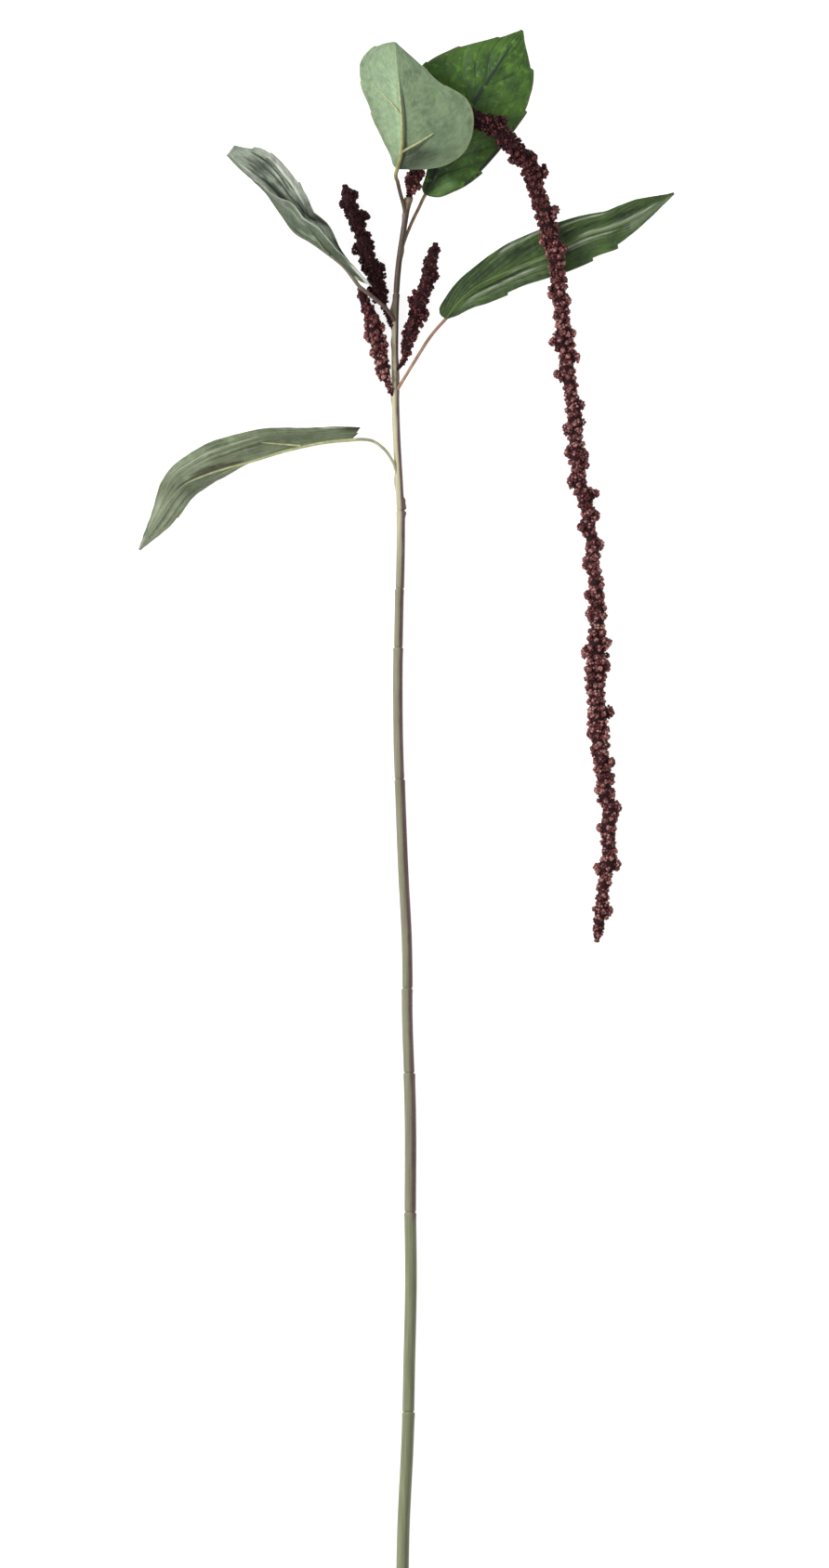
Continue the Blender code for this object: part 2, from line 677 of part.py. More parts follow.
def rib_point(leaf, share, side, radius):
    """A point on a rib's axis, clear of the blade's underside."""
    away = BLADE_THICKNESS / 2 + SEAT_GAP + RIB_MARGIN + radius
    return leaf.point(share, side) + leaf.underside(share, side) * away


def side_rib(leaf, start, end, out, tools):
    """A thinner rib that leaves the midrib at start and crosses this share of the half."""
    points, radii = [], []
    for i in range(SIDE_RIB_STEPS + 1):
        t = i / SIDE_RIB_STEPS
        radius = rib_radius(leaf, start) * (SIDE_RIB_START - SIDE_RIB_THINNING * t)
        points.append(rib_point(leaf, start + (end - start) * t, out * t, radius))
        radii.append(radius)
    return tube("side_rib", points, radii, SIDE_RIB_SIDES, tools)


def make_stalk(leaf, collection, tools):
    """The stalk from the stem to the blade, run on as the midrib, with its side ribs."""
    shares = [RIB_SPAN * i / RIB_STEPS for i in range(RIB_STEPS + 1)]
    radii = [rib_radius(leaf, share) for share in shares]
    ribs = [rib_point(leaf, share, 0, radius) for share, radius in zip(shares, radii)]
    approach = ribs[0] - leaf.midrib.heading(0) * STALK_APPROACH
    bare = Route([*leaf.root[1:], approach, ribs[0]])
    bare_points = [bare.at(i / STALK_STEPS) for i in range(STALK_STEPS + 1)]
    points = [leaf.root[0], *bare_points, *ribs[1:]]
    sizes = [leaf.stalk_radius] * (len(points) - RIB_STEPS) + radii[1:]
    stalk = tube("leaf_stalk_" + leaf.name, points, sizes, STALK_SIDES, collection)
    combine(stalk, "UNION", [side_rib(leaf, *rib, tools) for rib in leaf.side_ribs])
    return stalk


# Seed heads


def make_seeds(head, rng, collection):
    """The core of a head, closely set with pointed seeds in rows that wind round it."""
    rows = max(8, round(head.route.length / SEED_LENGTH))
    mesh = bpy.data.meshes.new(head.name)
    shape = bmesh.new()
    bmesh.ops.create_grid(shape, x_segments=rows, y_segments=SEED_ROWS, size=1.0)
    tips = set(bmesh.ops.poke(shape, faces=shape.faces)["verts"])
    for vert in shape.verts:
        distance = head.route.length * (vert.co.x + 1) / 2
        turns = (vert.co.y + 1) / 2 + rows * (vert.co.x + 1) / 2 * 0.5 / SEED_ROWS
        angle = math.tau * turns
        reach = head.reach(distance, angle)
        if vert in tips:
            place = head.point(distance, angle, reach * rng.uniform(*SEED_REACH), 0.0)
        else:
            place = head.point(distance, angle, CORE_SHARE * reach, CORE_CLEAR)
        vert.co = place * MM
    bmesh.ops.remove_doubles(shape, verts=shape.verts, dist=0.01 * MM)
    bmesh.ops.holes_fill(shape, edges=shape.edges)
    shape.to_mesh(mesh)
    shape.free()
    weld(mesh)
    seeds = bpy.data.objects.new(head.name, mesh)
    collection.objects.link(seeds)
    return seeds


def loose_seeds(head, rng, tools):
    """A few larger seeds on each cluster that stands out."""
    for distance, angle, _ in head.standouts:
        for i in range(LOOSE_SEEDS):
            swing = math.tau * i / LOOSE_SEEDS + distance
            place = distance + LOOSE_SEED_SPREAD * math.cos(swing)
            side = angle + LOOSE_SEED_ARC * math.sin(swing)
            out = head.reach(place, side) - LOOSE_SEED_RADIUS
            centre = head.point(place, side, out, LOOSE_SEED_RADIUS)
            turn = Euler([rng.uniform(0, math.tau) for _ in range(3)])
            yield ball("seed", centre, LOOSE_SEED_RADIUS, 4, 2, tools, turn)


def make_head(head, collection, tools):
    rng = random.Random(HEAD_SEED)
    made = make_seeds(head, rng, collection)
    path = [*head.root, head.route.at(FOOT_SUNK / head.route.length)]
    foot = tube("foot", path, [FOOT_RADIUS] * len(path), STALK_SIDES, tools)
    combine(made, "UNION", [foot, *loose_seeds(head, rng, tools)], "MANIFOLD")
    return made


def build_spray():
    clear_scene()
    scene = bpy.context.scene
    parts = make_collection(SPRAY, scene.collection)
    tools = make_collection("tools", scene.collection)

    stem = make_stem(parts, tools)
    seats = []
    for leaf in LEAVES:
        seats.append(seat_cutter(leaf.root, leaf.stalk_radius, tools))
        finish(make_blade(leaf, parts), leaf.blade_colour, 0.5)
        finish(make_stalk(leaf, parts, tools), leaf.stalk_colour, 0.5)
    for head in HEADS:
        seats.append(seat_cutter(head.root, FOOT_RADIUS, tools))
        finish(make_head(head, parts, tools), SEED_COLOUR, 0.55)
    for seat in seats:
        combine(stem, "DIFFERENCE", [seat])
    finish(stem, STEM_COLOUR, 0.45)
    bpy.data.collections.remove(tools)


build_spray()
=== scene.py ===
"""Looks of the amaranth spray: a moulded stem, fabric leaves on ribbed stalks, beaded seed heads.

The file is laid out as a Blender add-on and run as a script. Its pieces stand for the nodes of the
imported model, in the same frame: +Y runs up the stem, +Z is up, and the surface is z = 0. Lengths in
the tables are in millimetres.
"""

import math
import random
from dataclasses import dataclass

import bmesh
import bpy
import numpy as np
from mathutils import Euler, Matrix, Vector, noise


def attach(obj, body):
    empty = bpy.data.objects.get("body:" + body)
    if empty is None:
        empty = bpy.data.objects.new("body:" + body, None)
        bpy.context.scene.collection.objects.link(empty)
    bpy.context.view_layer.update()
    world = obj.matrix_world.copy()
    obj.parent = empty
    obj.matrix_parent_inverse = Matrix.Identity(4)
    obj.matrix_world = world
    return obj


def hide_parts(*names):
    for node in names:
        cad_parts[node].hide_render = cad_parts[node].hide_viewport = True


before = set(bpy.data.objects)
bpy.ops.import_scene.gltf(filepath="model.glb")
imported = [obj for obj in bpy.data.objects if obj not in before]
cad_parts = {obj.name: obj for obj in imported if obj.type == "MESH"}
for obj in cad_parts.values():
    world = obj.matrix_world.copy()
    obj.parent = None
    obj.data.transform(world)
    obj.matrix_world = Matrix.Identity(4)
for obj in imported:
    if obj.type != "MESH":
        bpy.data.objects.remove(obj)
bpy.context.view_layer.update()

bl_info = {
    "name": "Amaranth spray",
    "version": (1, 0, 0),
    "blender": (4, 5, 0),
    "location": "View3D > Sidebar > Amaranth",
    "description": "Models and dresses an amaranth spray with its stem, leaves and seed heads",
    "category": "Add Mesh",
}

MM = 0.001
MERGE_MM = 0.001
TOLERANCE = 1e-6
BODY = "root"

# Stem: the y at which each moulded length starts, and its radius
STEM_LENGTHS = (
    (-500.4, 4.05), (-392.4, 3.85), (-263.4, 3.75), (-173.4, 3.5), (-118.8, 3.35),
    (16.2, 3.15), (101.4, 2.85), (139.2, 2.75), (189.6, 2.5), (268.0, 2.15), (330.0, 1.95),
)
STEM_TOP = 392.0
# Distance below the stem's top, and radius, of each ring of the cup
CUP_RINGS = ((9.0, 1.9), (5.0, 2.3), (2.5, 2.9), (0.8, 2.95), (0.0, 2.6))
STEM_ROUTE = (
    (1.2, -500.4), (2.1, -464.4), (4.2, -417.6), (5.4, -380.4), (6.6, -320.4), (6.2, -260.4),
    (6.2, -200.4), (4.7, -140.4), (4.0, -90.0), (1.7, -43.2), (0.0, 0.0), (-1.3, 39.6),
    (-1.7, 87.6), (-0.7, 129.6), (0.1, 174.6), (-0.7, 206.4), (-2.7, 243.6), (-3.6, 273.6),
    (-3.3, 315.6), (-1.5, 345.6), (1.8, 369.6), (4.5, 386.4), (5.4, 392.0),
)
# The stem's axis lies this share of its radius above the surface
LIE_SHARE = 0.95
RISE_FROM = 272.0
RISE_HEIGHT = 8.4
STEM_SIDES = 28
STEM_STEP = 2.2
JOINT_STEPS = (0.02, 0.3, 0.7, 1.2, 1.8, 2.6)
JOINT_SHARE = 0.76
JOINT_ROUNDING = 1.7
COLLAR_GAIN = 0.06
COLLAR_LENGTH = 3.2
# The cut end keeps at least this share of its radius
CUT_SHARE = 0.96
# A moulded length sways up to this far off the stem's line, over this length
LENGTH_SHIFT = 0.3
SWAY_LENGTH = 22.0
# The stem's slight facets: how many, and their depth as a share of the radius
FACETS = 3
FACET_DEPTH = 0.02
# A knob ends where its height has fallen by exp(-6)
KNOB_EDGE = 6
KNOB_BROWNING = 1.6
# Knobs and sheaths of the stem: y, angle from the right over the top in degrees, height, half
# length, half arc in degrees, and how brown it is
STEM_KNOBS = (
    (195.6, 18, 1.9, 1.7, 34, 0.3), (191.6, 10, 1.7, 1.5, 34, 0.5), (188.0, 22, 1.1, 2.0, 30, 0.2),
    (183.4, 40, 0.7, 3.4, 26, 0.0), (318.0, 160, 1.9, 4.6, 42, 0.0), (310.0, 176, 1.0, 3.2, 40, 0.1),
    (276.0, 8, 0.9, 6.5, 36, 1.0), (283.0, 15, 0.8, 3.6, 36, 0.7), (208.0, 172, 0.9, 4.6, 36, 0.0),
    (262.0, 176, 0.8, 3.0, 36, 0.2), (356.5, 20, 0.7, 3.6, 40, 0.5), (381.0, 176, 0.7, 3.2, 44, 0.6),
    (298.0, 178, 0.6, 3.4, 40, 0.1), (389.5, 80, 0.3, 2.2, 60, 0.9),
)

# Leaves
BLADE_STATIONS = 200
BLADE_COLUMNS = 44
LEAST_HALF_WIDTH = 0.35
# A tooth rises over this share of the leaf's length, and dies away inwards by this power
TOOTH_SPAN = 0.14
TOOTH_POWER = 5
# The veins and wrinkles start this share of a half away from the midrib
FLAT_BY_MIDRIB = 0.16
VEIN_CURVE = 0.9
# How high the fabric stands between two veins, as a share of their depth
BETWEEN_VEINS = 0.35
# Scale of the wide and the fine wrinkles, and the height of the fine ones as a share
WRINKLE_SCALE = 0.075
FINE_WRINKLE_SCALE = 0.24
FINE_WRINKLE = 0.35
# A crease or a stroke grows over the first of these shares of its run, and fades over the second
CREASE_START = (-0.05, 0.18)
CREASE_END = (0.7, 1.05)
# A blade's middle stays this share of its thickness above the surface
LEAST_LIFT = 0.6
STALK_SIDES = 12
STALK_STEPS = 44
STALK_APPROACH = 4.5
STALK_FLARE = 0.4
STALK_FLARE_LENGTH = 3.5
RIB_SPAN = 0.7
RIB_STEPS = 46
RIB_THINNING = 0.72
# How deep a rib is sunk into the blade
RIB_SINK = 0.2
# A rib's free end is rounded over these shares of its length, down to this share of its area
RIB_END = (0.86, 1.0)
LEAST_TAPER = 0.04
SIDE_RIB_STEPS = 18
SIDE_RIB_START = 0.9
SIDE_RIB_THINNING = 0.4
# Where a side rib starts and ends in the run of the stalk's colours, which ends at 2
SIDE_RIB_COLOURS = (1.4, 2.0)
ROOT_INSET = 0.5
ROOT_KNOTS = 8

# Seed heads
CORE_SHARE = 0.66
CORE_STEP = 2.4
CORE_SIDES = 14
CLUSTER_PITCH = 9.6
CLUSTER_REACH = (1.0, 1.2)
CLUSTER_LENGTH = 4.4
CLUSTER_ARC = 0.9
# A cluster ends this many times its length away
CLUSTER_EDGE = 2.2
# How far a cluster is moved along, as a share of the pitch, and turned, in radians
CLUSTER_SHIFT = 0.2
CLUSTER_SWING = 0.4
BETWEEN_CLUSTERS = 0.8
# A standout goes to the last point of the head's route that is this near to its y
NEAR_Y = 1.0
# A head is rounded over this length at both ends, which are cut off at this share of it
END_ROUNDING = 5.0
LEAST_END = 0.06
GOLDEN_ANGLE = math.radians(137.5)
FOOT_RADIUS = 1.3
FOOT_SUNK = 8.0
HEAD_SEED = 7
# How far a seed is moved along and turned, as a share of its pitch
SEED_SHIFT = 0.3
LEAST_TURNS = 4
# Seeds darkened with painted shade fill the head under the clumps at this share of its reach, this far
# apart
FILL_SHARE = 0.74
FILL_PITCH = 3.8
FILL_LEAST_OUT = 0.6
FILL_SHADE_TONE = -0.2
# The core and the foot get this tone as painted shade in the gaps between the seeds
CORE_SHADE_TONE = -0.4
CORE_CLEAR = 0.8
# Clumps of seeds cover it: their distance apart, how many seeds each has, and their radius
CLUMP_PITCH = 4.9
CLUMP_SEEDS = 7
CLUMP_RADII = (1.1, 1.9)
CLUMP_REACH = (0.86, 1.14)
# A clump's seeds cover this share of a ball, from its outer end
CLUMP_WRAP = 0.66
CLUMP_LEAST_OUT = 1.0
# Turn from one seed of a clump to the next, in radians
SEED_TURN = 2.4
SEED_SIZES = (0.82, 1.08)
# What a seed's tone takes from its clump, from chance and from how far out it is: the last is painted
# light on a clump's outer seeds and painted shade on its inner ones
CLUMP_TONE = 0.3
CHANCE_TONE = 0.6
OUTER_LIGHT_TONE = 0.3
STANDOUT_SEEDS = 16
STANDOUT_RADIUS = 2.5
FOOT_SEEDS = 5
FOOT_PITCH = 0.8
FOOT_OUT = (-0.2, 0.6)
FOOT_SIZES = (0.7, 1.0)
# How much lower the tone of a seed is where its head is darkest
DARKENING = 0.95
FIBRE_PITCH = 14
FIBRE_LENGTHS = (2.5, 6.5)
FIBRE_START = 0.8
FIBRE_LEAN = 0.8
FIBRE_SWIRL = 0.6
FIBRE_CLEAR = 0.3
FIBRE_THINNING = 0.6
FIBRE_RADIUS = 0.09
FIBRE_SIDES = 3
FIBRE_STEPS = 5

# Stage, in metres
FLOOR_HALF = 15.0
KEY_PLACE = (-2.2, 0.9, 1.9)
KEY_AIM = (0.0, 0.1, 0.0)
KEY_SIZE = 1.4
CAMERA_PLACE = (0.009, 0.0132)


def srgb(red, green, blue):
    """A colour picked as it looks on screen, as the linear colour that the shaders take."""
    return tuple(
        c / 12.92 if c <= 0.04045 else ((c + 0.055) / 1.055) ** 2.4
        for c in (red / 255, green / 255, blue / 255)
    )


def scaled(colour, times):
    """The colour made this many times as bright."""
    return tuple(min(1.0, times * c) for c in colour)


def between(a, b, c, d, t):
    """What lies from b to c on the smooth curve that also runs through a and d."""
    return 0.5 * (2 * b + (c - a) * t + (2 * a - 5 * b + 4 * c - d) * t**2
                  + (3 * b - a - 3 * c + d) * t**3)


def cross_frame(heading):
    """The horizontal and upward directions across a path that heads this way."""
    across = Vector((heading.y, -heading.x, 0.0))
    across = across.normalized() if across.length > TOLERANCE else Vector((1.0, 0.0, 0.0))
    return across, across.cross(heading)


def turned(angle, across, up):
    """The direction at this angle from across towards up."""
    return math.cos(angle) * across + math.sin(angle) * up


class Route:
    """A smooth line through a few points, read by its share of the length."""

    STEPS = 24

    def __init__(self, knots):
        points = self._through([Vector(knot) for knot in knots])
        spans = [(b - a).length for a, b in zip(points, points[1:])]
        self.lengths = np.concatenate([[0.0], np.cumsum(spans)])
        self.length = float(self.lengths[-1])
        self.table = np.array(points)

    def _through(self, knots):
        ends = [2 * knots[0] - knots[1], *knots, 2 * knots[-1] - knots[-2]]
        line = []
        for four in zip(ends, ends[1:], ends[2:], ends[3:]):
            line += [between(*four, step / self.STEPS) for step in range(self.STEPS)]
        return [*line, knots[-1]]

    def at(self, share):
        """The point at this share of the length, from 0 to 1."""
        reach = min(max(share, 0.0), 1.0) * self.length
        return Vector([np.interp(reach, self.lengths, column) for column in self.table.T])

    def evenly(self, steps):
        """Points that part the route into this many equal steps."""
        return [self.at(i / steps) for i in range(steps + 1)]

    def heading(self, share):
        """The unit direction of travel there."""
        near = 0.004
        return (self.at(share + near) - self.at(share - near)).normalized()


def keyed(values, share):
    """A number that runs smoothly through evenly spaced values as share goes from 0 to 1."""
    last = len(values) - 1
    place = min(max(share, 0.0), 1.0) * last
    i = min(int(place), last - 1)
    b, c = values[i], values[i + 1]
    a = values[i - 1] if i else 2 * b - c
    d = values[i + 2] if i + 2 <= last else 2 * c - b
    return between(a, b, c, d, place - i)


def smoothstep(low, high, value):
    t = min(max((value - low) / (high - low), 0.0), 1.0)
    return t * t * (3 - 2 * t)


STEM_LINE = Route([(x, y, 0.0) for x, y in STEM_ROUTE])


def moulded_length(y):
    """(start, end, radius) of the moulded length of the stem that holds this y."""
    ends = [*[start for start, _ in STEM_LENGTHS][1:], STEM_TOP]
    lengths = [(start, end, radius) for (start, radius), end in zip(STEM_LENGTHS, ends)]
    return [length for length in lengths if length[0] <= y + TOLERANCE][-1]


def stem_axis(y):
    """Centre of the stem at this y."""
    x = float(np.interp(y, STEM_LINE.table[:, 1], STEM_LINE.table[:, 0]))
    _, _, radius = moulded_length(min(y, RISE_FROM))
    height = LIE_SHARE * radius
    return Vector((x, y, height + RISE_HEIGHT * smoothstep(RISE_FROM, STEM_TOP, y)))


def rooted(root_y, points):
    """These points as a path that starts just off the stem's axis."""
    first = Vector(points[0])
    root = stem_axis(root_y)
    start = root + (first - root).normalized() * ROOT_INSET
    return [start, *[Vector(p) for p in points]]


@dataclass
class Half:
    """One side of a leaf blade: its width, and its angle about the midrib, from base to tip."""

    widths: tuple
    angles: tuple
    bend: float
    # How far each point of the blade lies towards the tip, for each mm it is off the midrib
    slants: tuple
    # Each tooth's point along the midrib, and its height
    teeth: tuple = ()

    def notch(self, share):
        """How far the teeth stand out from the margin here: each one points to the tip."""
        rises = [
            height * (1 - (point - share) / TOOTH_SPAN)
            for point, height in self.teeth
            if share <= point + TOLERANCE and point - share < TOOTH_SPAN
        ]
        return max(rises, default=0.0)


@dataclass
class Look:
    """Colours and relief of one leaf's fabric: dark and light tones of its face and its back."""

    face: tuple
    back: tuple
    vein: tuple
    rim: tuple
    # Colours of the painted light and the painted shade that the strokes put on the fabric
    pale: tuple
    shade: tuple
    veins: int
    # How far towards the tip a side vein runs on its way out to the margin
    lean: float
    vein_depth: float
    # How strongly the side veins are coloured
    vein_tint: float
    wrinkle: float
    mottle: float
    # How many fibre marks there are along the leaf and across a half, and their strength
    grain: tuple
    streaky: float = 0.55
    spots: bool = False
    # Each crease's two ends as (share, side), its half width across, and its depth
    creases: tuple = ()
    # Strokes of painted light and shade, given in the same way, each with its strength: above 0 is
    # painted light such as a highlight along a fold, and below 0 is painted shade such as the midrib's
    # shadow or a dark crease. Some of the fabric's own lighter and darker patches are among them
    strokes: tuple = ()


class Leaf:
    """A blade folded along its midrib, and the moulded stalk whose ribs back it."""

    def __init__(self, name, slot, root_y, stalk, stalk_radius, midrib, right, left, base,
                 side_ribs, look, stalk_colours):
        self.name = name
        self.slot = slot
        self.root = rooted(root_y, stalk)
        self.stalk_radius = stalk_radius
        self.midrib = Route(midrib)
        self.right = right
        self.left = left
        # Share of the length over which the blade's base rounds out
        self.base = base
        # Each side rib's start and end along the midrib, and the share of the half it crosses
        self.side_ribs = side_ribs
        self.look = look
        # Colours of the stalk at the stem, at the blade and at the end of its rib
        self.stalk_colours = stalk_colours

    def frame(self, share):
        """Midrib point, its heading, and the horizontal and upward directions across it."""
        along = self.midrib.heading(share)
        return self.midrib.at(share), along, *cross_frame(along)

    def half(self, side):
        return self.right if side >= 0 else self.left

    def width(self, share, side):
        """Distance from the midrib to the margin, without its teeth."""
        width = keyed(self.half(side).widths, share)
        if share < self.base:
            width *= math.sqrt(1 - (1 - share / self.base) ** 2)
        return max(width, LEAST_HALF_WIDTH)

    def point(self, share, side):
        """A point of the blade: side runs from -1 at the left margin to 1 at the right one."""
        middle, along, across, up = self.frame(share)
        half, out = self.half(side), abs(side)
        angle = math.radians(keyed(half.angles, share) + half.bend * out)
        reach = out * self.width(share, side) + half.notch(share) * out**TOOTH_POWER
        way = turned(angle, across, up)
        return middle + reach * (way + keyed(half.slants, share) * along)

    def turn(self, share):
        """1 where the underside is on the right half's anticlockwise side, and -1 elsewhere."""
        return 1 if keyed(self.right.angles, share) > keyed(self.left.angles, share) else -1

    def underside(self, share, side):
        """Unit direction out of the underside: at the midrib, the keel's outward direction."""
        _, _, across, up = self.frame(share)
        right, left = keyed(self.right.angles, share), keyed(self.left.angles, share)
        if side == 0:
            angle = math.radians((right + left) / 2 + 180)
        else:
            half = self.half(side)
            quarter = 90 * self.turn(share) * (1 if side > 0 else -1)
            angle = math.radians(keyed(half.angles, share) + half.bend * abs(side) + quarter)
        return turned(angle, across, up)

    def relief(self, share, side, vein_depth, wrinkle):
        """Height of the fabric above the plain blade: veins, creases and wrinkles."""
        look, out = self.look, abs(side)
        inner = smoothstep(0.0, FLAT_BY_MIDRIB, out)
        # The left half's veins run halfway between the right half's
        vein = (share - look.lean * out**VEIN_CURVE) * look.veins + (0.5 if side < 0 else 0.0)
        off_vein = 2 * abs(vein - round(vein))
        pressed = 1 - smoothstep(0.0, 0.5, off_vein)
        raised = BETWEEN_VEINS * smoothstep(0.5, 1.0, off_vein)
        height = vein_depth * look.vein_depth * (raised - pressed) * inner
        for start, end, half_width, depth in look.creases:
            height -= depth * crease_share(share, side, start, end, half_width)
        place = self.point(share, side)
        fine = FINE_WRINKLE * noise.noise(place * FINE_WRINKLE_SCALE)
        wrinkles = noise.noise(place * WRINKLE_SCALE) + fine
        return height + wrinkle * look.wrinkle * wrinkles * inner

    def tint(self, share, side):
        """How much painted light (above 0) or painted shade (below 0) the strokes put on the fabric
        here, from -1 to 1.
        """
        marks = [
            strength * crease_share(share, side, start, end, half_width)
            for start, end, half_width, strength in self.look.strokes
        ]
        return min(max(sum(marks), -1.0), 1.0)


def crease_share(share, side, start, end, half_width):
    """1 on the line of a crease, falling to 0 beside it and past its ends."""
    if side * (start[1] + end[1]) < 0:
        return 0.0
    run = (share - start[0]) / (end[0] - start[0])
    ends = smoothstep(*CREASE_START, run) * (1 - smoothstep(*CREASE_END, run))
    if ends <= 0:
        return 0.0
    line = start[1] + (end[1] - start[1]) * run
    return math.exp(-(((side - line) / half_width) ** 2)) * ends


